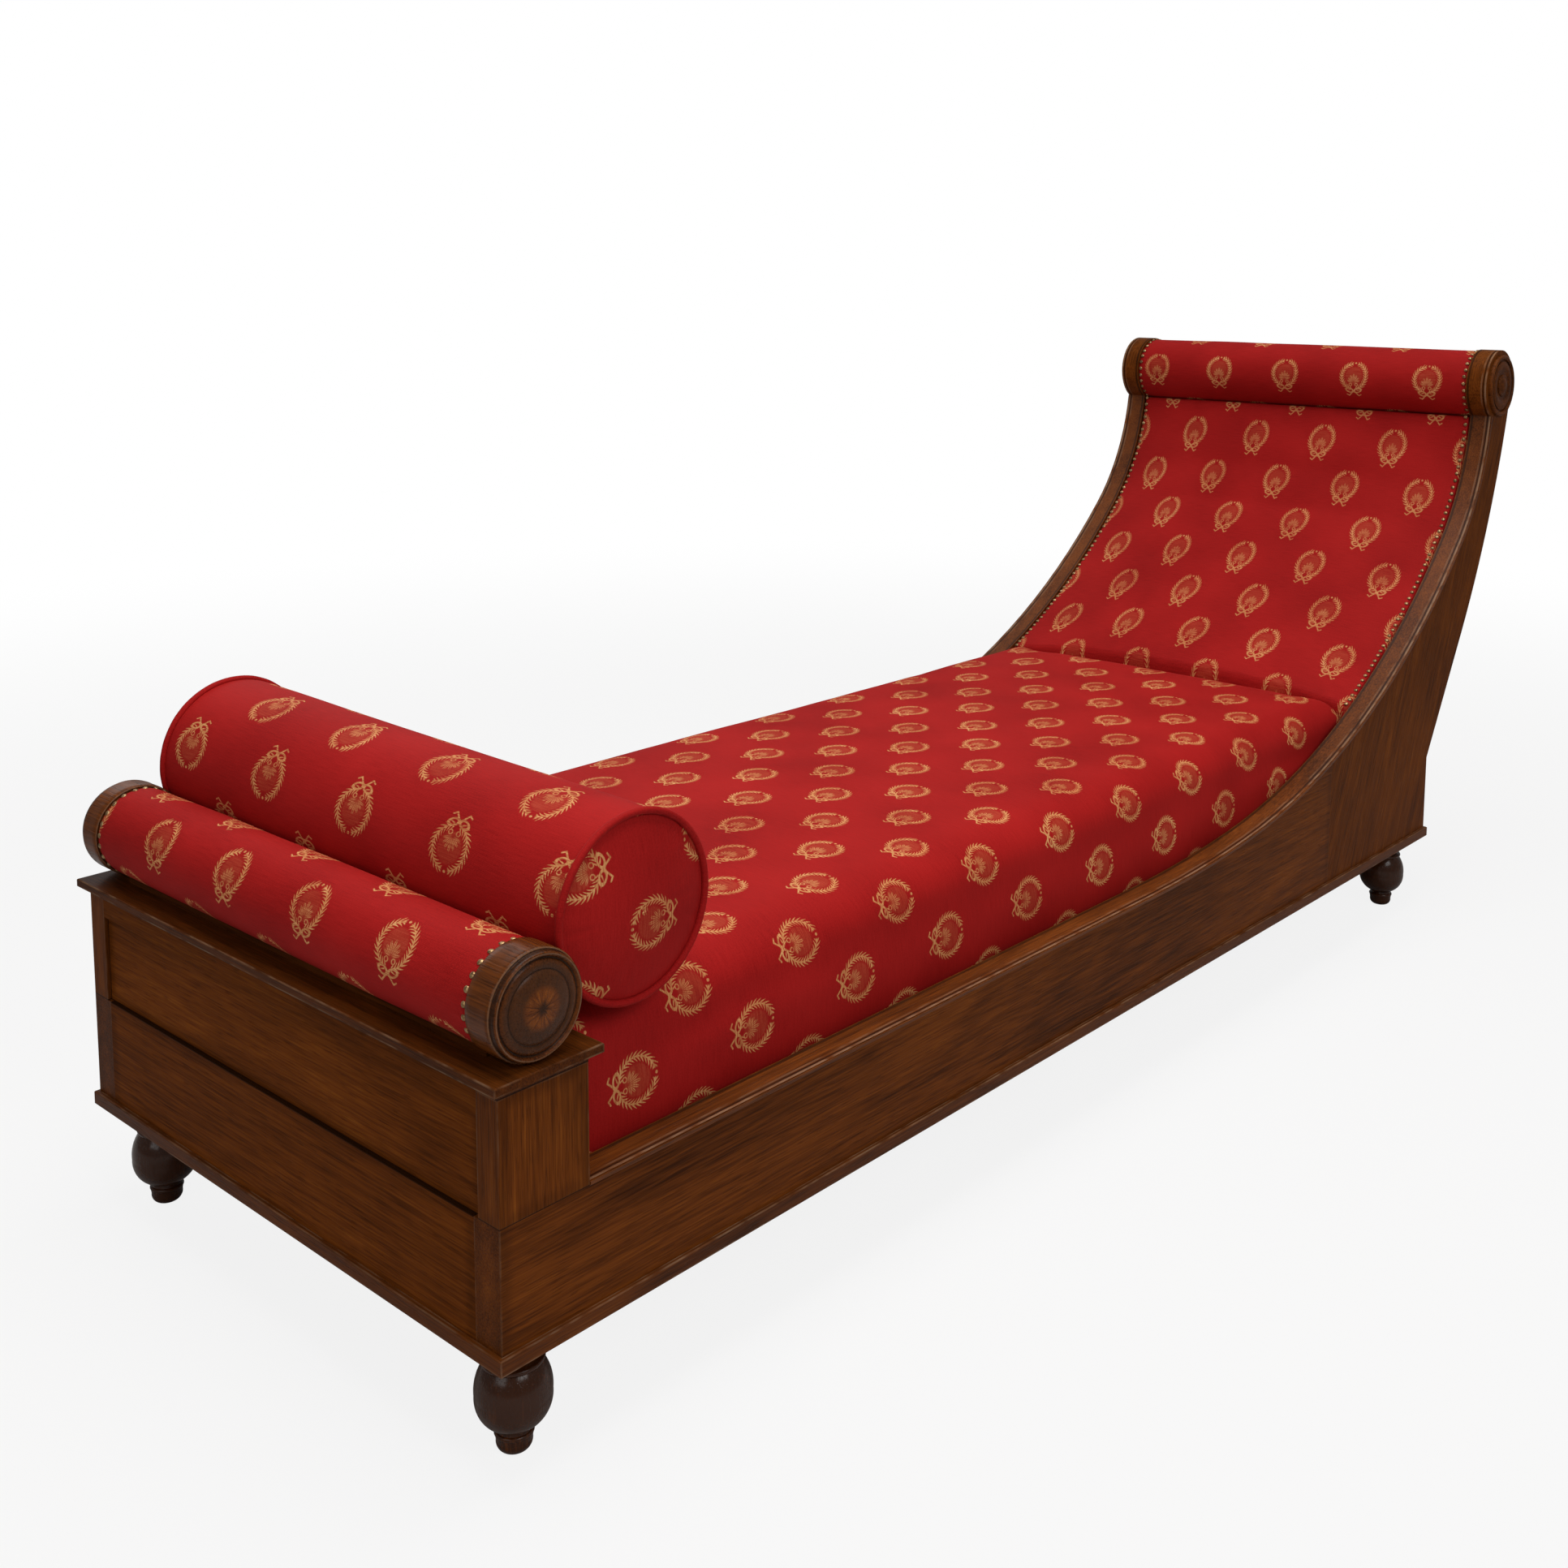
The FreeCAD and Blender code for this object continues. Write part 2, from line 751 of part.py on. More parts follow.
# Turned feet, their pads and the corner blocks that take their spigots
pad_bottom = foot_height - pad_height
foot_places = {
    "front_foot_end": (foot_inset, -half_depth + foot_inset),
    "back_foot_end": (foot_inset, half_depth - foot_inset),
    "front_head_end": (base_length - foot_inset, -half_depth + foot_inset),
    "back_head_end": (base_length - foot_inset, half_depth - foot_inset),
}
ball_middle = 0.5 * (pad_bottom + 6.0)
ball_half_height = 0.27 * foot_height
ball_top = ball_middle + ball_half_height
ball_bottom = ball_middle - ball_half_height
foot_path = [
    (0.0, 0.0),
    (toe_radius - 5.0, 0.0),
    (toe_radius - 1.6, 3.5, toe_radius - 0.8, 9.0),
    (toe_radius, 14.0),
    (toe_radius + 0.8, 16.0, toe_radius - 1.2, 18.0),
    (waist_radius, ball_bottom),
    (ball_radius * 0.86, ball_bottom + 0.38 * ball_half_height, ball_radius, ball_middle),
    (ball_radius * 0.93, ball_middle + 0.6 * ball_half_height, neck_radius, ball_top - 1.0),
    (neck_radius + 2.6, ball_top + 1.5, neck_radius, ball_top + 4.0),
    (neck_radius - 3.0, ball_top + 6.0, neck_radius, pad_bottom),
    (spigot_radius, pad_bottom),
    (spigot_radius, pad_bottom + spigot_length),
    (0.0, pad_bottom + spigot_length),
]
pad_half = pad_width / 2.0
block_top = base_bottom + block_height
corner_blocks = []
for place, (foot_x, foot_y) in foot_places.items():
    save("foot_" + place, turned_z(foot_path, foot_x, foot_y))
    bore = Part.makeCylinder(
        spigot_radius + spigot_clearance,
        2.0 * spigot_length,
        Vector(foot_x, foot_y, pad_bottom - spigot_length / 2.0),
    )
    pad = coved_block(
        foot_x - pad_half,
        foot_x + pad_half,
        foot_y - pad_half,
        foot_y + pad_half,
        pad_bottom,
        base_bottom,
        pad_cove,
        pad_cove,
    )
    save("pad_" + place, pad.cut(bore))
    if foot_x < base_length / 2.0:
        block_x = (end_rail_thickness, end_rail_thickness + block_width)
    else:
        block_x = (head_inner_x - block_width, head_inner_x)
    if foot_y < 0.0:
        block_y = (-inner_y, -inner_y + block_width)
    else:
        block_y = (inner_y - block_width, inner_y)
    block = box(*block_x, *block_y, base_bottom, min(block_top, ledger_bottom))
    corner_blocks.append(block.cut(bore))
save("corner_blocks", *corner_blocks)

# Loose seat: a frame with webbing under one thick crowned pad
frame_half = seat_half - 2.0
frame_start = seat_start_x + 2.0
frame_end = seat_end_x - 2.0
frame_top = seat_frame_bottom + seat_frame_height
frame_parts = [
    box(frame_start, frame_end, -frame_half, -frame_half + seat_frame_width, seat_frame_bottom, frame_top),
    box(frame_start, frame_end, frame_half - seat_frame_width, frame_half, seat_frame_bottom, frame_top),
]
bar_half = frame_half - seat_frame_width
bar_step = (frame_end - frame_start - seat_frame_width) / (seat_crossbars + 1)
for number in range(seat_crossbars + 2):
    bar_x = frame_start + number * bar_step
    frame_parts.append(
        box(bar_x, bar_x + seat_frame_width, -bar_half, bar_half, seat_frame_bottom, frame_top)
    )
save("seat_frame", *frame_parts)

strap_step = (frame_end - frame_start) / seat_cross_straps
seat_straps = []
for number in range(seat_cross_straps):
    strap_x = frame_start + (number + 0.5) * strap_step - webbing_width / 2.0
    seat_straps.append(
        box(
            strap_x,
            strap_x + webbing_width,
            -frame_half,
            frame_half,
            frame_top,
            frame_top + webbing_thickness,
        )
    )
strap_step = 2.0 * frame_half / seat_long_straps
for number in range(seat_long_straps):
    strap_y = -frame_half + (number + 0.5) * strap_step - webbing_width / 2.0
    seat_straps.append(
        box(
            frame_start,
            frame_end,
            strap_y,
            strap_y + webbing_width,
            frame_top + webbing_thickness,
            webbing_top,
        )
    )
save("seat_webbing", *seat_straps)

quarter = math.sqrt(0.5)
shoulder = seat_top - seat_edge_round
turn_in = seat_edge_round * (1.0 - quarter)
side_top = seat_half - 0.5
across = [
    (-seat_half + seat_side_swell, webbing_top),
    (-seat_half, 0.5 * (webbing_top + shoulder), -side_top, shoulder),
    (
        -side_top + turn_in,
        seat_top - turn_in,
        -side_top + seat_edge_round,
        seat_top,
    ),
    (0.0, seat_top + seat_crown, side_top - seat_edge_round, seat_top),
    (side_top - turn_in, seat_top - turn_in, side_top, shoulder),
    (seat_half, 0.5 * (webbing_top + shoulder), seat_half - seat_side_swell, webbing_top),
]
crown_top = seat_top + seat_crown
end_in = seat_end_round * (1.0 - quarter)
pad_end_x = seat_end_x - seat_end_gap
lengthwise = [
    (seat_start_x, webbing_top),
    (pad_end_x, webbing_top),
    (pad_end_x, crown_top - seat_end_round),
    (pad_end_x - end_in, crown_top - end_in, pad_end_x - seat_end_round, crown_top),
    (seat_start_x + seat_end_round, crown_top),
    (seat_start_x + end_in, crown_top - end_in, seat_start_x, crown_top - seat_end_round),
]
seat_pad = cross_bar(across, seat_start_x - 5.0, seat_end_x + 5.0)
seat_pad = seat_pad.common(side_plate(lengthwise, -half_depth, half_depth))
save("seat_pad", seat_pad)

# Bolster: a filled cylinder with domed ends and a piped seam at each end
corner_reach = (bolster_end_round + piping_stand_off) * quarter - bolster_end_round
pipe_ring = bolster_radius + corner_reach
bolster_z = crown_top + bolster_clearance + bolster_radius + bolster_belly
touch = foot_cap_drum + pipe_ring + piping_radius + bolster_side_clearance
touch_rise = bolster_z - foot_roll_z
bolster_x = foot_roll_inset + math.sqrt(touch ** 2 - touch_rise ** 2)
bolster_half = bolster_length / 2.0
seam_half = bolster_half - bolster_end_dome


def bolster_outline(shrink):
    radius = bolster_radius - shrink
    bend = bolster_end_round - shrink
    rim = radius - bend
    edge = seam_half - shrink
    end = bolster_half - shrink
    near_round = bend * (1.0 - quarter)
    dome_r, dome_t = dome_middle(rim, edge, end)
    return [
        (0.0, -end),
        (dome_r, -dome_t, rim, -edge),
        (radius - near_round, -edge + near_round, radius, -edge + bend),
        (radius + bolster_belly, 0.0, radius, edge - bend),
        (radius - near_round, edge - near_round, rim, edge),
        (dome_r, dome_t, 0.0, end),
    ]


outer = turned_y(bolster_outline(0.0), bolster_x, bolster_z, 0.0, 1.0)
filling = turned_y(bolster_outline(bolster_cover), bolster_x, bolster_z, 0.0, 1.0)
pipings = []
for side in (-1.0, 1.0):
    pipings.append(
        Part.makeTorus(
            pipe_ring,
            piping_radius,
            Vector(bolster_x, side * (seam_half + corner_reach), bolster_z),
            Vector(0, 1, 0),
        )
    )
cover = outer.cut(filling)
for piping in pipings:
    cover = cover.cut(piping)
save("bolster_filling", filling)
save("bolster_cover", cover)
save("bolster_piping_front", pipings[0])
save("bolster_piping_back", pipings[1])
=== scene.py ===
import math

import bmesh
import bpy
import numpy as np
from mathutils import Matrix, Vector, noise


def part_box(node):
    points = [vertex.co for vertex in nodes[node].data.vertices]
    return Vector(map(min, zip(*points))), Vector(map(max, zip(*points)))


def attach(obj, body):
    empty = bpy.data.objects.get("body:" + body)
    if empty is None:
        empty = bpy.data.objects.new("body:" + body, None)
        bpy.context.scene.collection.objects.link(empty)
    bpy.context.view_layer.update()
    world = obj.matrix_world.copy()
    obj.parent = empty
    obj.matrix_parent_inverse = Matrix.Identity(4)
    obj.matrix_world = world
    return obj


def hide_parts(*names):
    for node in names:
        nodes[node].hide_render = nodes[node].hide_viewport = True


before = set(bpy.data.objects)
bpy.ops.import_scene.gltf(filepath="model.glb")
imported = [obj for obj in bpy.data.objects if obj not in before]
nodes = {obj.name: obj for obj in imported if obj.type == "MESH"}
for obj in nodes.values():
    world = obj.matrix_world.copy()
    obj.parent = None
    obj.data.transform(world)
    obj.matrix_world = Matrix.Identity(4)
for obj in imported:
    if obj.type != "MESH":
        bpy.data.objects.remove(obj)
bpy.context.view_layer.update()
scene = bpy.context.scene
print("frame loaded:", len(nodes), "nodes")


# places taken from the frame, in metres
def side(node, axis, high):
    low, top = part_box(node)
    return (top if high else low)[axis]


footX = side("front_rail", 0, False)  # outer face of the foot end
faceY = -side("front_rail", 1, False)  # outer face of the long sides
innerY = faceY - (side("front_rail", 1, True) - side("front_rail", 1, False))

# the curve of the side boards: three arcs, as in the frame
sweep = {
    "start": 0.993,
    "arcs": ((2.250, 6.2), (1.147, 44.6), (0.344, 82.5)),
    "strip": 0.005,  # how far the strip is let into the board
}
railTop = side("front_edge_strip", 2, False) + sweep["strip"]
sweepArcs = []
atX, atZ, atAngle = footX + sweep["start"], railTop, 0.0
for radius, degrees in sweep["arcs"]:
    endAngle = math.radians(degrees)
    midX = atX - radius * math.sin(atAngle)
    midZ = atZ + radius * math.cos(atAngle)
    sweepArcs.append((midX, midZ, radius, endAngle))
    atX = midX + radius * math.sin(endAngle)
    atZ = midZ - radius * math.cos(endAngle)
    atAngle = endAngle
sweepEnd = atAngle
headX = (side("head_rosette_front", 0, False) + side("head_rosette_front", 0, True)) / 2
headZ = (side("head_rosette_front", 2, False) + side("head_rosette_front", 2, True)) / 2


def sweepPoint(angle, inward=0.0):
    # a point on the curve, moved into the board by inward
    for midX, midZ, radius, endAngle in sweepArcs:
        if angle <= endAngle + 1e-9:
            break
    reach = radius + inward
    return Vector((midX + reach * math.sin(angle), 0, midZ - reach * math.cos(angle)))


# numbers inside a material, built up from math nodes
class Amount:
    def __init__(self, tree, socket):
        self.tree = tree
        self.socket = socket

    def work(self, kind, *others, clamp=False):
        node = self.tree.nodes.new("ShaderNodeMath")
        node.operation = kind
        node.use_clamp = clamp
        for slot, other in enumerate((self, *others)):
            plug(self.tree, node.inputs[slot], other)
        return Amount(self.tree, node.outputs[0])

    def __add__(self, other):
        return self.work("ADD", other)

    __radd__ = __add__

    def __sub__(self, other):
        return self.work("SUBTRACT", other)

    def __rsub__(self, other):
        return (self * -1.0) + other

    def __mul__(self, other):
        return self.work("MULTIPLY", other)

    __rmul__ = __mul__

    def __truediv__(self, other):
        return self.work("DIVIDE", other)

    def size(self):
        return self.work("ABSOLUTE")

    def part(self):
        return self.work("FRACT")

    def root(self):
        return self.work("SQRT")

    def most(self, other):
        return self.work("MAXIMUM", other)

    def least(self, other):
        return self.work("MINIMUM", other)

    def ramp(self, low, high):
        # 0 below low, 1 above high, and smooth between; low above high turns it round
        node = self.tree.nodes.new("ShaderNodeMapRange")
        node.interpolation_type = "SMOOTHSTEP"
        plug(self.tree, node.inputs["Value"], self)
        if low > high:
            node.inputs["To Min"].default_value = 1.0
            node.inputs["To Max"].default_value = 0.0
            low, high = high, low
        node.inputs["From Min"].default_value = low
        node.inputs["From Max"].default_value = high
        return Amount(self.tree, node.outputs["Result"])


def plug(tree, socket, value):
    if isinstance(value, Amount):
        tree.links.new(value.socket, socket)
    elif isinstance(value, bpy.types.NodeSocket):
        tree.links.new(value, socket)
    else:
        socket.default_value = value


def emptyTree(holder):
    holder.use_nodes = True
    holder.node_tree.nodes.clear()
    return holder.node_tree


def addNode(tree, kind, **values):
    # each value is one of the node's own settings or, by name, one of its inputs
    node = tree.nodes.new(kind)
    for key, value in values.items():
        if hasattr(node, key):
            setattr(node, key, value)
        else:
            plug(tree, node.inputs[key.replace("_", " ")], value)
    return node


def mixShaders(tree, share, first, second, output):
    mix = addNode(tree, "ShaderNodeMixShader")
    for slot, value in enumerate((share, first.outputs[0], second.outputs[0])):
        plug(tree, mix.inputs[slot], value)
    addNode(tree, output, Surface=mix.outputs[0])


class Finish:
    # a material with one Principled shader and short ways to reach its nodes
    def __init__(self, name, **fixed):
        self.material = bpy.data.materials.new(name)
        self.tree = emptyTree(self.material)
        self.shader = self.node("ShaderNodeBsdfPrincipled")
        self.node("ShaderNodeOutputMaterial", Surface=self.shader.outputs[0])
        self.wire(**fixed)

    def node(self, kind, **values):
        return addNode(self.tree, kind, **values)

    def amount(self, socket):
        return Amount(self.tree, socket)

    def place(self):
        coords = self.node("ShaderNodeTexCoord")
        apart = self.node("ShaderNodeSeparateXYZ", Vector=coords.outputs["Object"])
        return [self.amount(apart.outputs[k]) for k in range(3)]

    def point(self, x, y, z):
        return self.node("ShaderNodeCombineXYZ", X=x, Y=y, Z=z).outputs[0]

    def grain(self, vector, scale, detail=3.0, rough=0.5, warp=0.0):
        made = self.node(
            "ShaderNodeTexNoise",
            Vector=vector,
            Scale=scale,
            Detail=detail,
            Roughness=rough,
            Distortion=warp,
        )
        return self.amount(made.outputs["Fac"])

    def blend(self, share, first, second):
        mix = self.node("ShaderNodeMix", data_type="RGBA")
        plug(self.tree, mix.inputs[0], share)
        for slot, colour in ((6, first), (7, second)):
            if not isinstance(colour, bpy.types.NodeSocket):
                colour = (*colour, 1.0)
            plug(self.tree, mix.inputs[slot], colour)
        return mix.outputs[2]

    def colours(self, share, stops):
        made = self.node("ShaderNodeValToRGB", Fac=share)
        ramp = made.color_ramp
        while len(ramp.elements) < len(stops):
            ramp.elements.new(0.5)
        for element, (place, colour) in zip(ramp.elements, stops):
            element.position = place
            element.color = (*colour, 1.0)
        return made.outputs["Color"]

    def rise(self, height, depth, strength):
        made = self.node("ShaderNodeBump", Height=height, Strength=strength, Distance=depth)
        return made.outputs["Normal"]

    def wire(self, **sockets):
        for key, value in sockets.items():
            plug(self.tree, self.shader.inputs[key.replace("_", " ")], value)
        return self.material


# polished wood
wood = {
    "dark": (0.040, 0.0105, 0.0020),
    "middle": (0.112, 0.0285, 0.0042),
    "warm": (0.170, 0.0440, 0.0060),
    "glow": (0.270, 0.0780, 0.0100),
    # pale: wear, and painted highlight along edges, the bead and the cap rings
    "wornAndHighlight": (0.260, 0.150, 0.085),
    # very dark: joints and the inlay's middle, and painted shade beside the bead, by the cloth and in the
    # turned grooves
    "grimeAndShade": (0.014, 0.0055, 0.0022),
    "gloss": 0.33,
}


# fine lines round the turned caps: place, width, strength and tint; the pale ones are painted highlight on the
# beads, the dark ones painted shade in the grooves
turnedLines = (
    (0.0516, 0.0008, 0.35, "wornAndHighlight"),
    (0.0503, 0.0009, 0.75, "grimeAndShade"),
    (0.0478, 0.0008, 0.40, "wornAndHighlight"),
    (0.0440, 0.0014, 0.85, "grimeAndShade"),
    (0.0345, 0.0010, 0.60, "grimeAndShade"),
)
# lines on the top edge of the long sides: from, to (both from the outer face), strength and tint; the pale ones
# are wear and painted highlight on the bead, the dark ones painted shade beside it and by the cloth
beadLines = (
    (0.0004, 0.0032, 0.80, "wornAndHighlight"),
    (0.0036, 0.0064, 0.75, "grimeAndShade"),
    (0.0072, 0.0096, 0.35, "wornAndHighlight"),
    (0.0290, 0.0325, 0.70, "grimeAndShade"),
)


def mahogany(
    name,
    along,
    warmth,
    node=None,
    seams="",
    edgeWearAndHighlight=0.5,
    turned=None,
    inlay=None,
    slant=0.0,
    gloss=0.05,
    beads=False,
    polish=0.0,
):
    look = Finish(name, IOR=1.45, Specular_IOR_Level=gloss)
    x, y, z = spot = look.place()
    seed = sum(ord(letter) for letter in name) % 97 * 0.37
    if slant:
        lean = math.radians(slant)
        x, z = x * math.cos(lean) + z * math.sin(lean), z * math.cos(lean) - x * math.sin(lean)
    long, wide, deep = {"x": (x, y, z), "y": (y, x, z), "z": (z, y, x)}[along]
    figure = look.grain(look.point(long + seed, wide * 3.0 + seed, deep * 3.0), 2.6, 2.0, 0.55, 0.8)
    streak = look.grain(look.point(long + seed, wide * 14.0, deep * 14.0), 6.0, 3.0, 0.62)
    fine = look.grain(look.point(long * 2.0, wide * 60.0 + seed, deep * 60.0), 9.0, 1.0, 0.5)
    pore = look.grain(look.point(long * 16.0, wide * 330.0 + seed, deep * 330.0), 3.0, 0.0)
    tone = figure * 0.36 + streak * 0.30 + fine * 0.42 - 0.04 + warmth
    colour = look.colours(
        tone,
        [
            (0.33, wood["dark"]),
            (0.49, wood["middle"]),
            (0.62, wood["warm"]),
            (0.80, wood["glow"]),
        ],
    )
    pores = pore.ramp(0.60, 0.72)
    colour = look.blend(pores * 0.40, colour, wood["dark"])
    height = pores * -1.0
    rough = figure * 0.18 + fine * 0.10 + (wood["gloss"] - 0.10 - polish)
    x, y, z = spot
    if beads:
        # the moulded top edge: pale lines of wear and painted highlight draw a bead outside, with dark lines of
        # painted shade beside it and by the cloth
        reach = y.size()
        paleBreakup = look.grain(look.point(x + seed, y, z), 38.0, 1.0, 0.6)
        onTop = reach.ramp(faceY - 0.0001, faceY - 0.0004)
        for start, end, share, tint in beadLines:
            half = (end - start) / 2
            fromMiddle = (reach - (faceY - (start + end) / 2)).size()
            band = fromMiddle.ramp(half + 0.0003, half - 0.0002)
            if tint == "wornAndHighlight":
                share = paleBreakup.ramp(0.30, 0.60) * share
            colour = look.blend(band * onTop * share, colour, wood[tint])

    if node is not None:
        low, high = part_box(node)
        gaps = []
        for value, least, most in ((x, low.x, high.x), (y, low.y, high.y), (z, low.z, high.z)):
            gaps.append((value - least).size().least((value - most).size()))
        # the middle one of the three distances is the way to the nearest edge
        a, b, c = gaps
        edge = a.least(b).most(a.most(b).least(c))
        paleBreakup = look.grain(look.point(x + seed, y, z), 32.0, 2.0, 0.6)
        # painted shade: each board darker towards its edges, fully within 4 mm and fading out by 16 mm
        paintedShade = (edge - 0.004).ramp(0.012, 0.0) * 0.35
        colour = look.blend(paintedShade, colour, wood["dark"])
        # pale lines within 2 mm of each edge, broken up by noise: wear and painted highlight
        pale = edge.ramp(0.0018, 0.0006) * paleBreakup.ramp(0.34, 0.66) * edgeWearAndHighlight
        colour = look.blend(pale, colour, wood["wornAndHighlight"])
        for seam in seams.split():
            axis = "xyz".index(seam[0])
            plane = (low, high)[int(seam[1])][axis]
            gap = ((x, y, z)[axis] - plane).size()
            colour = look.blend(gap.ramp(0.0017, 0.0005) * 0.9, colour, wood["grimeAndShade"])
    if turned is not None:
        # painted rings round a turned piece: highlight on the beads and shade in the grooves
        cx, cz, scale = turned
        ring = (((x - cx) * (x - cx)) + ((z - cz) * (z - cz))).root()
        if inlay is not None:
            angle = (z - cz).work("ARCTAN2", x - cx)
            ray = look.grain(look.point(angle * 2.6, ring * 26.0, seed), 2.6, 2.0, 0.6)
            burst = look.colours(
                ray,
                [
                    (0.34, (0.075, 0.018, 0.004)),
                    (0.50, (0.150, 0.038, 0.006)),
                    (0.68, (0.240, 0.066, 0.009)),
                ],
            )
            uneven = ring + (ray - 0.5) * 0.007
            around = look.blend(0.72, colour, (0.050, 0.019, 0.0075))
            colour = look.blend(ring.ramp(0.040, 0.034), colour, around)
            colour = look.blend(uneven.ramp(inlay + 0.003, inlay - 0.004) * 0.9, colour, burst)
            colour = look.blend(uneven.ramp(0.0095, 0.0020) * 0.85, colour, wood["grimeAndShade"])
        for place, width, share, tint in turnedLines:
            line = (ring - place * scale).size().ramp(width, width * 0.3)
            colour = look.blend(line * share, colour, wood[tint])
    normal = look.rise(height, 0.00022, 0.5)
    return look.wire(Base_Color=colour, Roughness=rough, Normal=normal)


def plainBeech(name, along="x"):
    look = Finish(name, IOR=1.45)
    x, y, z = look.place()
    long, wide, deep = {"x": (x, y, z), "y": (y, x, z), "z": (z, y, x)}[along]
    ring = look.grain(look.point(long, wide * 14.0, deep * 14.0), 5.0, 4.0, 0.6, 0.8)
    fleck = look.grain(look.point(long * 30.0, wide * 300.0, deep * 300.0), 3.0, 2.0, 0.5)
    colour = look.colours(
        ring,
        [(0.32, (0.33, 0.205, 0.105)), (0.55, (0.47, 0.32, 0.185)), (0.75, (0.56, 0.41, 0.25))],
    )
    colour = look.blend(fleck.ramp(0.62, 0.72) * 0.35, colour, (0.22, 0.12, 0.055))
    normal = look.rise(ring + fleck, 0.0003, 0.5)
    return look.wire(Base_Color=colour, Roughness=ring * 0.2 + 0.55, Normal=normal)


def juteWeb(name):
    look = Finish(name, Sheen_Weight=0.15, Sheen_Roughness=0.6)
    x, y, z = look.place()
    warp = (x * 2400.0).work("SINE") * (y * 2400.0).work("SINE")
    fuzz = look.grain(look.point(x, y, z), 600.0, 3.0, 0.6)
    stripe = (y * 115.0).part().ramp(0.40, 0.48) * (y * 115.0).part().ramp(0.62, 0.54)
    colour = look.colours(
        warp * 0.25 + fuzz * 0.7 + 0.15,
        [(0.30, (0.21, 0.14, 0.075)), (0.55, (0.36, 0.26, 0.15)), (0.80, (0.47, 0.36, 0.22))],
    )
    colour = look.blend(stripe * 0.35, colour, (0.16, 0.06, 0.03))
    normal = look.rise(warp + fuzz, 0.0006, 0.7)
    return look.wire(Base_Color=colour, Roughness=0.85, Normal=normal)


# red cloth with gold wreaths, drawn by its own weave
cloth = {
    "ground": (0.325, 0.0086, 0.0078),
    "bright": (0.405, 0.0125, 0.0112),
    "deep": (0.235, 0.0050, 0.0048),
    "gold": (0.600, 0.270, 0.095),
    "dullGold": (0.420, 0.120, 0.045),
    "paleGold": (0.740, 0.420, 0.180),
    "rib": 0.0011,
}
wreath = {
    "wide": 21.5,
    "tall": 23.5,
    "rise": 3.0,
    "leafReach": 5.6,
    "leafPairs": 14.0,
    "lean": 1.35,
}
# how the cloth lies on each piece, in metres: repeat across and along, one wreath's place,
# which way is up, and half the repeat across and the repeat along in the motif's own millimetres
lay = {
    "seat": (0.122, 0.151, 0.0455, 0.178, 1.0, 62.1, 162.0),
    "back": (0.1255, 0.180, 0.0607, 0.541, 1.0, 66.0, 152.0),
    "headRoll": (0.1288, 0.180, 0.0134, 0.0925, 1.0, 64.4, 190.0),
    "footRoll": (0.1336, 0.148, 0.0640, 0.1038, 1.0, 66.8, 157.0),
    "bolster": (0.148, 0.144, -0.0178, 0.168, -1.0, 68.5, 165.0),
    "bolsterEnd": (0.118, 0.145, -0.0136, 0.011, -1.0, 62.0, 161.0),
    "outside": (0.126, 0.150, 0.0, 0.075, 1.0, 63.0, 160.0),
}


def stroke(x, y, start, end, half):
    # a line with soft ends between two points
    ax, ay = start
    bx, by = end
    dx, dy = bx - ax, by - ay
    px, py = x - ax, y - ay
    share = (px * dx + py * dy).work("DIVIDE", dx * dx + dy * dy, clamp=True)
    ox, oy = px - share * dx, py - share * dy
    return (ox * ox + oy * oy).root().ramp(half + 0.35, half - 0.35)


def wreathMask(x, y):
    # x across and y up the motif, in millimetres from its middle
    ey = y - wreath["rise"]
    ex, ez = x / wreath["wide"], ey / wreath["tall"]
    oval = (ex * ex + ez * ez).root()
    reach = ((oval - 1.0) * (22.5 / wreath["leafReach"])).size()
    turn = x.size().work("ARCTAN2", ey * -1.0) / math.pi
    step = (turn * wreath["leafPairs"] - reach * wreath["lean"]).part()
    half = (reach * reach * -0.30) + 0.30
    leaf = (half - (step - 0.5).size()).ramp(-0.05, 0.07) * reach.ramp(1.04, 0.94)
    stem = reach.ramp(0.17, 0.08)
    gap = turn.ramp(0.955, 0.925) * turn.ramp(0.045, 0.075)
    ring = leaf.most(stem) * gap
    # ribbon bow with two loops and tails under the wreath
    ax = x.size()
    loopX, loopY = (ax - 7.2) / 6.2, (y + 24.5 + ax * -0.22) / 3.9
    loop = ((loopX * loopX + loopY * loopY).root() - 1.0).size().ramp(0.34, 0.20)
    tail = stroke(ax, y, (1.0, -25.0), (8.5, -33.5), 0.95)
    tip = stroke(ax, y, (8.5, -33.5), (12.5, -31.0), 0.85)
    knot = (x * x + (y + 24.5) * (y + 24.5)).root().ramp(2.6, 2.0)
    bow = loop.most(tail).most(tip).most(knot)
    # small bud at the top
    bud = (x * x + (y - 27.5) * (y - 27.5)).root().ramp(1.9, 1.3)
    # open fan of petals inside
    fy = y + 9.5
    far = (x * x + fy * fy).root()
    lean = x.work("ARCTAN2", fy)
    petal = ((lean * (1 / 0.40)) + 0.5).part() - 0.5
    long = far / (18.5 - lean.size() * 4.5)
    body = (long * math.pi).work("SINE") * 0.42
    fan = (body - petal.size()).ramp(-0.03, 0.05) * long.ramp(1.0, 0.97) * lean.size().ramp(1.42, 1.36)
    spine = petal.size().ramp(0.05, 0.10)
    curlX, curlY = ax - 5.2, y + 12.5
    curl = ((curlX * curlX + curlY * curlY).root() - 2.4).size().ramp(0.85, 0.45)
    inner = (fan * spine * 0.74).most(curl * 0.85)
    field = oval.ramp(0.80, 0.62) * 0.10
    return ring.most(bow).most(bud), inner.most(field)


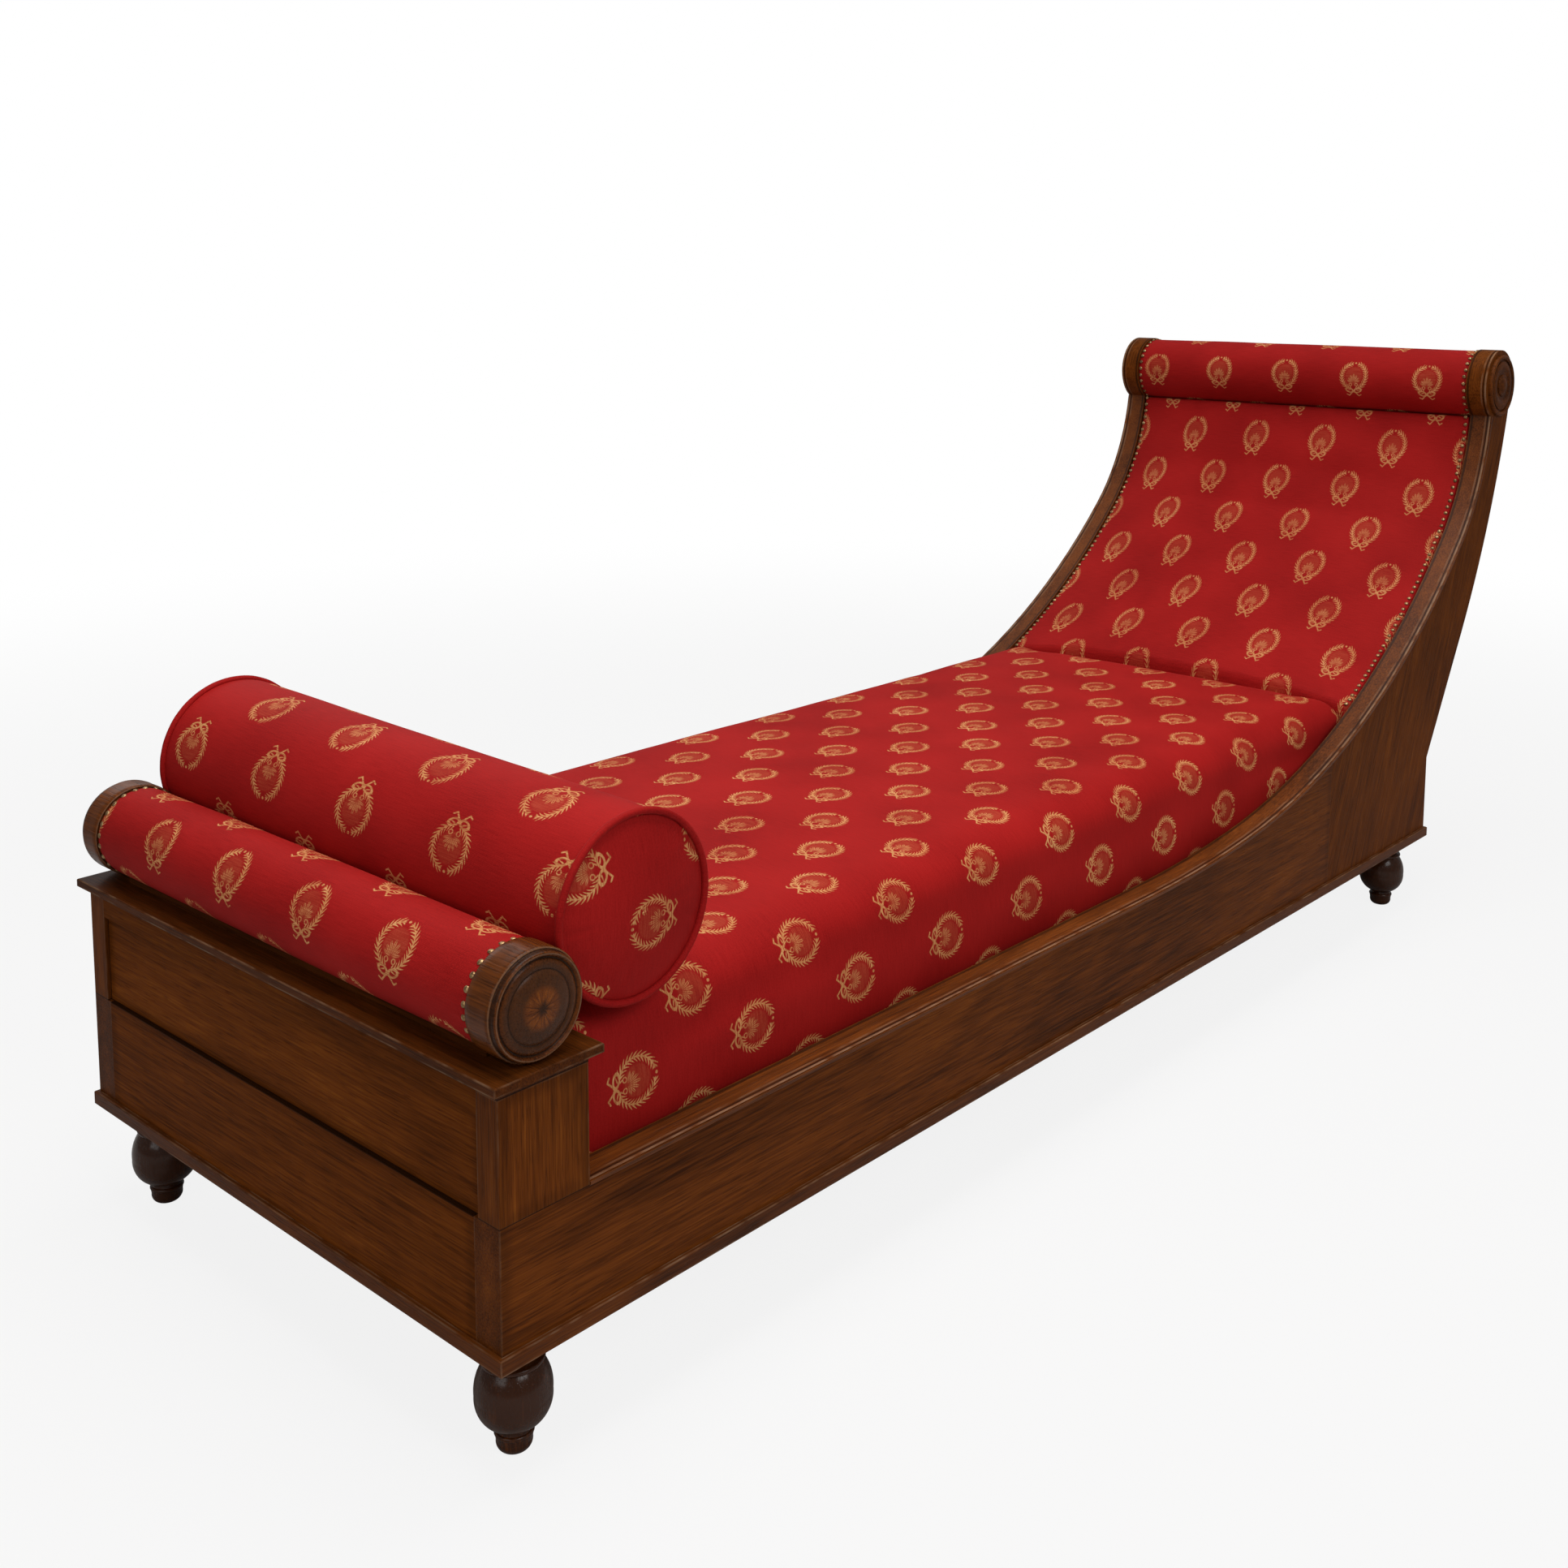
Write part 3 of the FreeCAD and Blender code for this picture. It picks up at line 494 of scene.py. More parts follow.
def wreathGroup():
    group = bpy.data.node_groups.new("wreathWeave", "ShaderNodeTree")
    for name in ("Column", "Row", "Wide", "Tall"):
        group.interface.new_socket(name, in_out="INPUT", socket_type="NodeSocketFloat")
    for name in ("Outer", "Inner"):
        group.interface.new_socket(name, in_out="OUTPUT", socket_type="NodeSocketFloat")
    start, end = group.nodes.new("NodeGroupInput"), group.nodes.new("NodeGroupOutput")
    column, row, wide, tall = (Amount(group, start.outputs[k]) for k in range(4))
    number = column.work("FLOOR")
    x = (column - number - 0.5) * wide
    drop = (number * 0.5).part()
    y = ((row + drop).part() - 0.5) * tall
    outer, inner = wreathMask(x, y)
    group.links.new(outer.socket, end.inputs[0])
    group.links.new(inner.socket, end.inputs[1])
    return group


weaveGroup = wreathGroup()


def redCloth(name, place=None, gold=1.0, paintedShade=0.0):
    look = Finish(
        name,
        Sheen_Weight=0.05,
        Sheen_Roughness=0.35,
        Sheen_Tint=(1.0, 0.30, 0.24, 1.0),
        IOR=1.4,
        Specular_IOR_Level=0.08,
    )
    run = look.node("ShaderNodeUVMap", uv_map="clothRun")
    apart = look.node("ShaderNodeSeparateXYZ", Vector=run.outputs[0])
    u, v = look.amount(apart.outputs[0]), look.amount(apart.outputs[1])
    flat = look.point(u, v, 0.0)
    cloud = look.grain(flat, 7.0, 1.0, 0.55)
    speck = look.grain(flat, 620.0, 0.0)
    slub = look.grain(look.point(u * 45.0, v * 900.0, 0.0), 1.0, 0.0)
    ribs = (v * (2 * math.pi / cloth["rib"])).work("SINE") * 0.5 + 0.5
    # painted shade: the whole cloth of a piece drawn darker by this amount
    tone = cloud * 0.50 + speck * 0.28 + slub * 0.24 + ribs * 0.05 - paintedShade
    colour = look.colours(
        tone,
        [(0.33, cloth["deep"]), (0.53, cloth["ground"]), (0.76, cloth["bright"])],
    )
    height = ribs * 0.5 + speck * 0.5
    rough = speck * 0.12 + 0.60
    if place is not None:
        across, along, atU, atV, way, wide, tall = lay[place]
        weave = look.node("ShaderNodeGroup")
        weave.node_tree = weaveGroup
        plug(look.tree, weave.inputs[0], (u - atU) / (across / 2.0) + 0.5)
        plug(look.tree, weave.inputs[1], (v - atV) * (way / along) + 0.5)
        weave.inputs[2].default_value = wide
        weave.inputs[3].default_value = tall
        outer = look.amount(weave.outputs[0])
        inner = look.amount(weave.outputs[1])
        thread = speck * 0.6 + 0.62
        goldColour = look.colours(
            slub * 0.6 + cloud * 0.4,
            [(0.34, cloth["dullGold"]), (0.52, cloth["gold"]), (0.74, cloth["paleGold"])],
        )
        mask = (outer.most(inner) * thread * gold).work("MINIMUM", 1.0)
        colour = look.blend(mask, colour, goldColour)
        rough = rough - mask * 0.10
    normal = look.rise(height, 0.00020, 0.55)
    return look.wire(Base_Color=colour, Roughness=rough, Normal=normal)


def brassNail(name):
    look = Finish(name, Metallic=0.9)
    x, y, z = look.place()
    tarnish = look.grain(look.point(x, y, z), 160.0, 3.0, 0.6)
    colour = look.colours(
        tarnish,
        [(0.30, (0.10, 0.056, 0.025)), (0.52, (0.34, 0.20, 0.088)), (0.74, (0.58, 0.40, 0.20))],
    )
    fine = look.grain(look.point(x, y, z), 2500.0, 2.0, 0.5)
    normal = look.rise(fine, 0.0001, 0.4)
    return look.wire(Base_Color=colour, Roughness=tarnish * 0.25 + 0.24, Normal=normal)


print("finishes ready")


# mesh helpers
def makePiece(name, points, faces, body, material, uvs=None):
    mesh = bpy.data.meshes.new(name)
    mesh.from_pydata([tuple(p) for p in points], [], faces)
    if uvs is not None:
        layer = mesh.uv_layers.new(name="clothRun")
        layer.data.foreach_set("uv", np.array([pair for face in uvs for pair in face], np.float32).ravel())
    mesh.polygons.foreach_set("use_smooth", [True] * len(mesh.polygons))
    mesh.materials.append(material)
    tidy = bmesh.new()
    tidy.from_mesh(mesh)
    bmesh.ops.recalc_face_normals(tidy, faces=tidy.faces)
    tidy.to_mesh(mesh)
    tidy.free()
    mesh.update()
    piece = bpy.data.objects.new(name, mesh)
    scene.collection.objects.link(piece)
    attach(piece, body)
    return piece


def gridPiece(name, grid, run, body, material, closeRows=False, capEnds=True):
    # grid[row][column] holds points round a closed outline; run gives the cloth's own
    # place for a row of faces, a row and a column
    rows, columns = len(grid), len(grid[0])
    points = [p for line in grid for p in line]
    faces, uvs = [], []
    for r in range(rows if closeRows else rows - 1):
        for c in range(columns):
            r2, c2 = (r + 1) % rows, (c + 1) % columns
            faces.append((r * columns + c, r * columns + c2, r2 * columns + c2, r2 * columns + c))
            uvs.append((run(r, r, c), run(r, r, c + 1), run(r, r + 1, c + 1), run(r, r + 1, c)))
    for row in (0, rows - 1) if capEnds else ():
        # the end is closed by strips that join opposite sides of its outline
        for c in range(columns // 2 - 1):
            d = columns - 1 - c
            quad = [row * columns + k for k in (c, c + 1, d - 1, d)]
            faces.append(tuple(quad))
            uvs.append(tuple((points[k].y + points[k].x, points[k].z) for k in quad))
    return makePiece(name, points, faces, body, material, uvs)


def spread(path, count=None, step=None):
    # points at even distances along a path, and the distance of each; so many, or so far apart
    path = [Vector(p) for p in path]
    lengths = [0.0]
    for a, b in zip(path, path[1:]):
        lengths.append(lengths[-1] + (b - a).length)
    if count is None:
        count = max(2, int(round(lengths[-1] / step))) + 1
    points, distances, k = [], [], 0
    for number in range(count):
        want = lengths[-1] * number / (count - 1)
        while k < len(lengths) - 2 and lengths[k + 1] < want:
            k += 1
        span = lengths[k + 1] - lengths[k]
        points.append(path[k].lerp(path[k + 1], 0.0 if span == 0 else (want - lengths[k]) / span))
        distances.append(want)
    return points, distances


def stationsAlong(first, last, step, skip, close):
    # places along a piece, closer together at both ends
    length = last - first
    count = int(length / step)
    inner = [first + length * k / count for k in range(skip, count - skip + 1)]
    return sorted([first + d for d in close] + inner + [last - d for d in close])


def ringPoint(cx, cz, y, radius, angle):
    return Vector((cx - radius * math.sin(angle), y, cz - radius * math.cos(angle)))


def stuff(piece, held, cap, pressure=4.0, frames=20, weight=0.3, limit=None):
    # lets the cloth swell from inside, held where the frame holds it
    mesh = piece.data
    rest = np.array([v.co for v in mesh.vertices])
    group = piece.vertex_groups.new(name="held")
    for v in mesh.vertices:
        share = held(v.co)
        if share > 0:
            group.add([v.index], share, "REPLACE")
    swell = piece.modifiers.new("swell", "CLOTH")
    settings = swell.settings
    settings.quality = 5
    settings.mass = weight
    settings.tension_stiffness = settings.compression_stiffness = 40.0
    settings.shear_stiffness = 15.0
    settings.bending_stiffness = 6.0
    settings.vertex_group_mass = "held"
    settings.pin_stiffness = 1.0
    settings.use_pressure = True
    settings.uniform_pressure_force = pressure
    settings.effector_weights.gravity = 0.0
    swell.collision_settings.use_collision = False
    swell.point_cache.frame_start = 1
    swell.point_cache.frame_end = frames
    for number in range(1, frames + 1):
        scene.frame_set(number)
    shape = piece.evaluated_get(bpy.context.evaluated_depsgraph_get()).data
    moved = np.array([v.co for v in shape.vertices])
    piece.modifiers.remove(swell)
    scene.frame_set(1)
    step = moved - rest
    far = np.linalg.norm(step, axis=1)
    far[far < 1e-9] = 1e-9
    step *= (np.tanh(far / cap) * cap / far)[:, None]
    moved = rest + step
    if limit is not None:
        moved = limit(moved)
    mesh.vertices.foreach_set("co", moved.astype(np.float32).ravel())
    mesh.update()
    print(piece.name, "stuffed, most movement %.1f mm" % (np.linalg.norm(moved - rest, axis=1).max() * 1000))


def ripple(piece, size, amount, seed):
    # slow unevenness of a stuffed surface, along its own normals
    mesh = piece.data
    normals = [v.normal.copy() for v in mesh.vertices]
    for v, normal in zip(mesh.vertices, normals):
        v.co += normal * (noise.noise(v.co / size + Vector((seed, seed * 0.7, seed * 1.3))) * amount)
    mesh.update()


def smoother(piece, levels=1):
    rounder = piece.modifiers.new("rounder", "SUBSURF")
    rounder.levels = rounder.render_levels = levels
    return piece


# camera, floor and light, at the photograph's place
camera = {
    "place": (-1.8454, -1.4078, 0.9985),
    "ahead": (0.74878394, 0.651111, -0.12400436),
    "right": (0.65680529, -0.75402917, 0.00684304),
    "focus": 2129.3,
    "middle": (1050.0, 600.0),
    "frameSize": 1932.0,
}


def makeCamera():
    data = bpy.data.cameras.new("photoCamera")
    data.sensor_width = 36.0
    data.lens = camera["focus"] / camera["frameSize"] * 36.0
    half = camera["frameSize"] / 2.0
    data.shift_x = (half - camera["middle"][0]) / camera["frameSize"]
    data.shift_y = (camera["middle"][1] - half) / camera["frameSize"]
    data.clip_end = 60.0
    made = bpy.data.objects.new("photoCamera", data)
    scene.collection.objects.link(made)
    ahead = Vector(camera["ahead"]).normalized()
    right = Vector(camera["right"])
    right = (right - ahead * right.dot(ahead)).normalized()
    up = right.cross(ahead)
    turn = Matrix((right, up, -ahead)).transposed().to_4x4()
    made.matrix_world = Matrix.Translation(camera["place"]) @ turn
    scene.camera = made


makeCamera()

sky = 0.25
lamps = {
    # place, size, power in watts, what it points at, and how wide it spreads in degrees
    "key": ((-1.0, -3.6, 3.0), (2.2, 1.6), 50.0, (0.0, 0.0, 0.4), 180.0),
    "headTop": ((1.0, -0.15, 3.3), (1.6, 1.8), 17.5, (1.0, -0.10, 0.0), 150.0),
    "footTop": ((-0.7, -0.3, 3.2), (2.0, 1.6), 19.0, (-0.7, -0.2, 0.0), 100.0),
    "side": ((-3.3, -0.6, 1.6), (1.6, 1.2), 5.0, (-0.9, 0.0, 0.4), 120.0),
    "back": ((0.5, 3.6, 2.6), (3.0, 2.0), 24.0, (0.2, 0.0, 0.4), 180.0),
}


def makeLight():
    for name, (place, size, power, aim, width) in lamps.items():
        data = bpy.data.lights.new(name, "AREA")
        data.shape = "RECTANGLE"
        data.size, data.size_y = size
        data.energy = power
        data.spread = math.radians(width)
        lamp = bpy.data.objects.new(name, data)
        scene.collection.objects.link(lamp)
        lamp.location = place
        lamp.rotation_mode = "QUATERNION"
        lamp.rotation_quaternion = (Vector(aim) - Vector(place)).to_track_quat("-Z", "Y")
    scene.world = bpy.data.worlds.new("studio")
    tree = emptyTree(scene.world)
    # the camera sees plain white, the daybed gets a weaker sky
    soft, white = (
        addNode(tree, "ShaderNodeBackground", Color=(1.0, 1.0, 1.0, 1.0), Strength=power)
        for power in (sky, 1.0)
    )
    seen = addNode(tree, "ShaderNodeLightPath").outputs["Is Camera Ray"]
    mixShaders(tree, seen, soft, white, "ShaderNodeOutputWorld")


makeLight()


ground = {
    "half": 9.0,
    "grey": (0.52, 0.51, 0.50, 1.0),
    "near": 1.2,  # from here outwards it fades to white
    "far": 4.2,
    "veil": 0.86,  # share of white under the daybed
}


def makeFloor():
    half = ground["half"]
    corners = [(x * half, y * half, 0) for x, y in ((-1, -1), (1, -1), (1, 1), (-1, 1))]
    mesh = bpy.data.meshes.new("studioFloor")
    mesh.from_pydata(corners, [], [(0, 1, 2, 3)])
    floor = bpy.data.objects.new("studioFloor", mesh)
    scene.collection.objects.link(floor)
    material = bpy.data.materials.new("paleFloor")
    tree = emptyTree(material)
    dull = addNode(tree, "ShaderNodeBsdfDiffuse", Color=ground["grey"])
    white = addNode(tree, "ShaderNodeEmission", Strength=1.0)
    far = addNode(tree, "ShaderNodeVectorMath", operation="LENGTH")
    plug(tree, far.inputs[0], addNode(tree, "ShaderNodeTexCoord").outputs["Object"])
    fade = addNode(
        tree,
        "ShaderNodeMapRange",
        interpolation_type="SMOOTHSTEP",
        Value=far.outputs["Value"],
        From_Min=ground["near"],
        From_Max=ground["far"],
        To_Min=ground["veil"],
        To_Max=1.0,
    )
    seen = Amount(tree, addNode(tree, "ShaderNodeLightPath").outputs["Is Camera Ray"])
    share = seen * Amount(tree, fade.outputs["Result"])
    mixShaders(tree, share, dull, white, "ShaderNodeOutputMaterial")
    mesh.materials.append(material)


makeFloor()
scene.view_settings.view_transform = "Standard"
print("camera, floor and lights set")

# wooden pieces keep their solids and get the finish of their own board
boards = {
    # node: grain, warmth, joints shown as dark lines, pale edge lines of wear and painted highlight, gloss
    "front_rail": ("x", 0.00, "z1", 0.20, 0.035),
    "back_rail": ("x", 0.00, "z1", 0.20, 0.035),
    "front_scroll_arm": ("z", 0.02, "", 0.0, 0.022),
    "back_scroll_arm": ("z", 0.02, "", 0.0, 0.022),
    "foot_rail": ("y", 0.04, "z1", 0.0, 0.008),
    "head_rail": ("y", 0.00, "z1", 0.0, 0.03),
    "front_corner_post": ("z", 0.05, "z0", 0.25, 0.03),
    "back_corner_post": ("z", 0.03, "z0", 0.2, 0.03),
    "foot_top_rail": ("y", 0.04, "", 0.0, 0.008),
    "foot_panel": ("y", 0.04, "z0 z1 y0 y1", 0.0, 0.008),
    "foot_cap_board": ("y", -0.08, "", 0.5, 0.05),
    "foot_cap_cove": ("y", -0.04, "z0", 0.2, 0.05),
    "base_moulding_front": ("x", 0.0, "", 0.6, 0.10),
    "base_moulding_back": ("x", 0.0, "", 0.6, 0.10),
    "base_moulding_foot": ("y", 0.01, "", 0.35, 0.07),
    "base_moulding_head": ("y", -0.02, "", 0.35, 0.07),
    "front_edge_strip": ("x", 0.02, "", 0.0, 0.20),
    "back_edge_strip": ("x", 0.02, "", 0.0, 0.20),
    "foot_roll_rest": ("y", -0.08, "", 0.0, 0.05),
    "pad_front_foot_end": ("x", -0.04, "", 0.2, 0.05),
    "pad_back_foot_end": ("x", -0.04, "", 0.2, 0.05),
    "pad_front_head_end": ("x", -0.04, "", 0.2, 0.05),
    "pad_back_head_end": ("x", -0.04, "", 0.2, 0.05),
}


def paint(node, material):
    nodes[node].data.materials.clear()
    nodes[node].data.materials.append(material)


for node, (along, warmth, seams, edgeWearAndHighlight, gloss) in boards.items():
    lean = -22.0 if "scroll_arm" in node else 0.0
    moulded = "scroll_arm" in node or "strip" in node
    edged = None if moulded else node
    finish = mahogany(node + "Wood", along, warmth, edged, seams, edgeWearAndHighlight, slant=lean, gloss=gloss, beads=moulded)
    paint(node, finish)

for node in ("head_rosette_front", "head_rosette_back"):
    paint(node, mahogany(node + "Wood", "y", -0.03, turned=(headX, headZ, 0.0), gloss=0.08))

# turned caps of the foot roll: a drum, two beads and a domed face with a small burst
footRollX = (side("foot_roll_cap_front", 0, False) + side("foot_roll_cap_front", 0, True)) / 2
capRadius = 0.0482
footRollZ = side("foot_cap_board", 2, True) + capRadius  # the caps rest on the board
footRollRadius = 0.0464
footRollEnds = (-0.311, 0.318)  # where the cloth ends
capFaces = (-0.351, 0.357)  # the caps stand out a little past the sides
capDrawn = 0.053  # radius the shape below is drawn for
capShape = (
    # radius and depth behind the front of the face
    (0.0526, 0.0180), (0.0529, 0.0140), (0.0527, 0.0118), (0.0518, 0.0106), (0.0509, 0.0101), (0.0503, 0.0104),
    (0.0500, 0.0092), (0.0502, 0.0074), (0.0498, 0.0056), (0.0488, 0.0046), (0.0474, 0.0044), (0.0462, 0.0050),
    (0.0453, 0.0064), (0.0443, 0.0076), (0.0434, 0.0070), (0.0424, 0.0056), (0.0408, 0.0050), (0.0376, 0.0046),
    (0.0356, 0.0048), (0.0346, 0.0056), (0.0338, 0.0050), (0.0322, 0.0038), (0.0290, 0.0030), (0.0240, 0.0021),
    (0.0180, 0.0012), (0.0120, 0.0006), (0.0060, 0.0002), (0.0025, 0.0),
)


def makeCap(name, node, front):
    face = capFaces[0 if front else 1]
    way = 1.0 if front else -1.0
    depth = abs(face - footRollEnds[0 if front else 1])
    profile = [(capRadius - 0.0026, depth), (capRadius - 0.0008, depth), (capRadius - 0.0002, depth - 0.001)]
    profile += [(capRadius - 0.0001, depth - (depth - 0.018) * k / 3) for k in (1, 2)]
    profile += [(r * capRadius / capDrawn, d) for r, d in capShape]
    around = 96
    angles = [2 * math.pi * k / around for k in range(around)]
    grid = [[ringPoint(footRollX, footRollZ, face + way * d, r, angle) for angle in angles] for r, d in profile]

    def run(faceRow, row, column):
        return profile[row][1], capRadius * 2 * math.pi * column / around

    middle = (footRollX, footRollZ, capRadius / capDrawn)
    finish = mahogany(name + "Wood", "y", -0.03, turned=middle, inlay=0.018, gloss=0.15, polish=0.08)
    piece = gridPiece(name, grid, run, "frame", finish)
    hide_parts(node)


for node in nodes:
    if node.startswith("foot_") and node.endswith("_end"):
        paint(node, mahogany(node + "Wood", "z", -0.22, gloss=0.34, polish=0.18))

innerWood = {"x": plainBeech("beechLong", "x"), "y": plainBeech("beechAcross", "y")}
for node, along in {
    "joint_dowels": "x",
    "foot_inner_board": "y",
    "front_ledger": "x",
    "back_ledger": "x",
    "cross_bearers": "y",
    "corner_blocks": "x",
    "back_bottom_bar": "y",
    "back_top_bar": "y",
    "seat_frame": "x",
    "foot_roll_core": "y",
    "head_roll_core": "y",
}.items():
    paint(node, innerWood[along])
web = juteWeb("juteWebbing")
for node in ("seat_webbing", "back_webbing"):
    paint(node, web)
makeCap("footRollCapFront", "foot_roll_cap_front", True)
makeCap("footRollCapBack", "foot_roll_cap_back", False)
print("wooden pieces finished")

# loose seat
seat = {
    "crown": 0.004,
    "edgeRound": 0.040,
    "endRound": 0.024,
    "step": 0.013,
    "swell": 0.005,
    "reach": 0.0015,  # towards the back, to close the joint
    "pull": 0.004,  # how far the sides draw in at their foot
}
seatLow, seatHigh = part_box("seat_pad")


def seatOutline():
    # front side up, over the top and down the back
    half = seatHigh.y - 0.0015
    top = seatHigh.z - 0.005
    foot = seatLow.z
    radius = seat["edgeRound"]
    path = [(0, -half + seat["pull"], foot), (0, -half, foot + 0.03), (0, -half, top - radius)]
    for number in range(1, 12):
        angle = math.radians(90 * number / 12)
        path.append((0, -half + radius * (1 - math.cos(angle)), top - radius + radius * math.sin(angle)))
    flat = half - radius
    for number in range(0, 41):
        y = -flat + 2 * flat * number / 40
        path.append((0, y, top + seat["crown"] * (1 - (y / flat) ** 2)))
    path += [(0, -y, z) for _, y, z in path[:14][::-1]]
    return spread(path, step=seat["step"])


def makeSeat():
    outline, distances = seatOutline()
    startX, endX = seatLow.x, seatHigh.x + seat["reach"]
    stations = stationsAlong(startX, endX, seat["step"], 2, (0.0, 0.0015, 0.0045, 0.010, 0.017))
    foot = seatLow.z
    tall = seatHigh.z - foot
    grid = []
    for x in stations:
        fromEnd = min(x - startX, endX - x)
        radius = seat["endRound"]
        drop = 0.0
        if fromEnd < radius:
            drop = radius - math.sqrt(radius**2 - (radius - fromEnd) ** 2)
        line = []
        for point in outline:
            z = foot + (point.z - foot) * (tall - drop) / tall
            line.append(Vector((x, point.y * (1 - 0.25 * drop / seatHigh.y), z)))
        grid.append(line)
    girth = [along - (railTop - foot) for along in distances]
    girth.append(girth[-1] + 0.2)

    def clothAt(x):
        # the cloth goes on over the rounded ends
        radius = seat["endRound"]
        fromEnd = min(x - startX, endX - x)
        if fromEnd >= radius:
            return x - footX
        over = radius - radius * math.acos(1 - fromEnd / radius) - radius * (1 - math.pi / 2)
        rest = radius - fromEnd
        return x - footX + math.copysign(rest - over, x - (startX + endX) / 2)

    places = [clothAt(x) for x in stations]

    def run(faceRow, row, column):
        return girth[column], places[row]

    piece = gridPiece("seatCushion", grid, run, "seat", redCloth("seatCloth", "seat"))

    def held(p):
        return 1.0 if p.z < foot + 0.035 or p.x < startX + 0.004 or p.x > endX - 0.004 else 0.0

    def limit(points):
        points[:, 1] = np.clip(points[:, 1], -seatHigh.y - 0.0008, seatHigh.y + 0.0008)
        points[:, 0] = np.clip(points[:, 0], startX, endX)
        return points

    stuff(piece, held, seat["swell"], limit=limit)
    ripple(piece, 0.16, 0.0012, 3.1)
    ripple(piece, 0.05, 0.0003, 8.4)
    settled = limit(np.array([v.co for v in piece.data.vertices]))
    piece.data.vertices.foreach_set("co", settled.astype(np.float32).ravel())
    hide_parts("seat_pad")
    smoother(piece)


makeSeat()
print("seat made")

# upholstered back
back = {
    "crown": 0.018,
    "flatten": 17.0,  # degrees of the top curve over which the crown dies away
    "sink": 0.001,
    "thick": 0.031,
    "rollGap": 0.0010,
    "points": 74,
    "swell": 0.004,
}
backFootX = side("back_pad", 0, False) - 0.0006
backHalf = side("back_pad", 1, True)
rollRadius = (side("head_roll_cover", 0, True) - side("head_roll_cover", 0, False)) / 2


def sweepRun(x, z):
    # how far along the curve a point lies, from the foot of the back
    for number in (2, 1, 0):
        midX, midZ, radius, endAngle = sweepArcs[number]
        startAngle = sweepArcs[number - 1][3] if number else 0.0
        angle = math.atan2(x - midX, midZ - z)
        if angle >= startAngle or number == 0:
            break
    run, last = 0.0, backFootAngle
    for midX, midZ, radius, endAngle in sweepArcs[1:]:
        reach = max(last, min(angle, endAngle) if endAngle < sweepEnd else angle)
        if angle < last:
            return run + radius * (angle - last)
        run += radius * (reach - last)
        last = reach
        if angle <= endAngle:
            break
    return run


midArc = sweepArcs[1]
backFootAngle = math.asin((backFootX - midArc[0]) / midArc[2])


def backOutline(share):
    # up the front from behind the seat to the roll, tucked under it, and down the inside
    full = (back["crown"] + back["sink"]) * (1 - abs(share) ** 3)
    rise = full - back["sink"]
    clear = rollRadius + back["rollGap"]
    front = []
    low = math.asin((backFootX - midArc[0]) / (midArc[2] - rise))
    number = 0
    while True:
        angle = low + 0.004 * number
        number += 1
        flat = min(1.0, max(0.0, (sweepEnd - angle) / math.radians(back["flatten"])))
        rise = -back["sink"] + full * (0.12 + 0.88 * flat * flat * (3 - 2 * flat))
        if angle <= sweepEnd:
            p = sweepPoint(angle, -rise)
        else:
            ahead = Vector((math.cos(sweepEnd), 0, math.sin(sweepEnd)))
            p = sweepPoint(sweepEnd, -rise) + ahead * ((angle - sweepEnd) * 0.3)
        if math.hypot(p.x - headX, p.z - headZ) <= clear:
            break
        front.append(p)
    last = front[-1]
    turn = math.atan2(last.z - headZ, last.x - headX)
    if turn > 0:
        turn -= 2 * math.pi
    under = math.radians(-94.0)
    for step in range(1, 9):
        angle = turn + (under - turn) * step / 8
        front.append(Vector((headX + clear * math.cos(angle), 0, headZ + clear * math.sin(angle))))
    top = sweepEnd - math.radians(3.0)
    foot = math.asin((backFootX - midArc[0]) / (midArc[2] + back["thick"]))
    inner = [sweepPoint(top + (foot - top) * k / 60, back["thick"]) for k in range(61)]
    count = back["points"]
    line = spread(front, count)[0] + spread(inner, count)[0]
    return [Vector((p.x, share * backHalf, p.z)) for p in line]


def makeBack():
    shares = [-1.0, -0.985, -0.96, -0.92] + [k / 26 for k in range(-23, 24)] + [0.92, 0.96, 0.985, 1.0]
    grid = [backOutline(share) for share in shares]
    places = []
    for line in grid:
        row = []
        for p in line:
            v = sweepRun(p.x, p.z)
            # the rows of wreaths draw together a little half way up
            row.append((p.y, v - 0.0105 * math.sin(math.pi * (v - 0.092) / 0.449)))
        row.append(row[0])
        places.append(row)

    def run(faceRow, row, column):
        return places[row][column]

    # the back's cloth drawn darker: painted shade
    piece = gridPiece("backCushion", grid, run, "frame", redCloth("backCloth", "back", gold=0.78, paintedShade=0.05))

    def held(p):
        atRoll = math.hypot(p.x - headX, p.z - headZ) < rollRadius + 0.012
        return 1.0 if backHalf - abs(p.y) < 0.012 or p.x < backFootX + 0.006 or atRoll else 0.0

    stuff(piece, held, back["swell"], pressure=3.0)
    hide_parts("back_pad")
    smoother(piece)


makeBack()
print("back made")

# rolls
rolls = {
    "around": 96,
    "step": 0.012,
    "uneven": 0.0007,
    "tuck": 0.0022,  # the cloth draws in under the nails
}


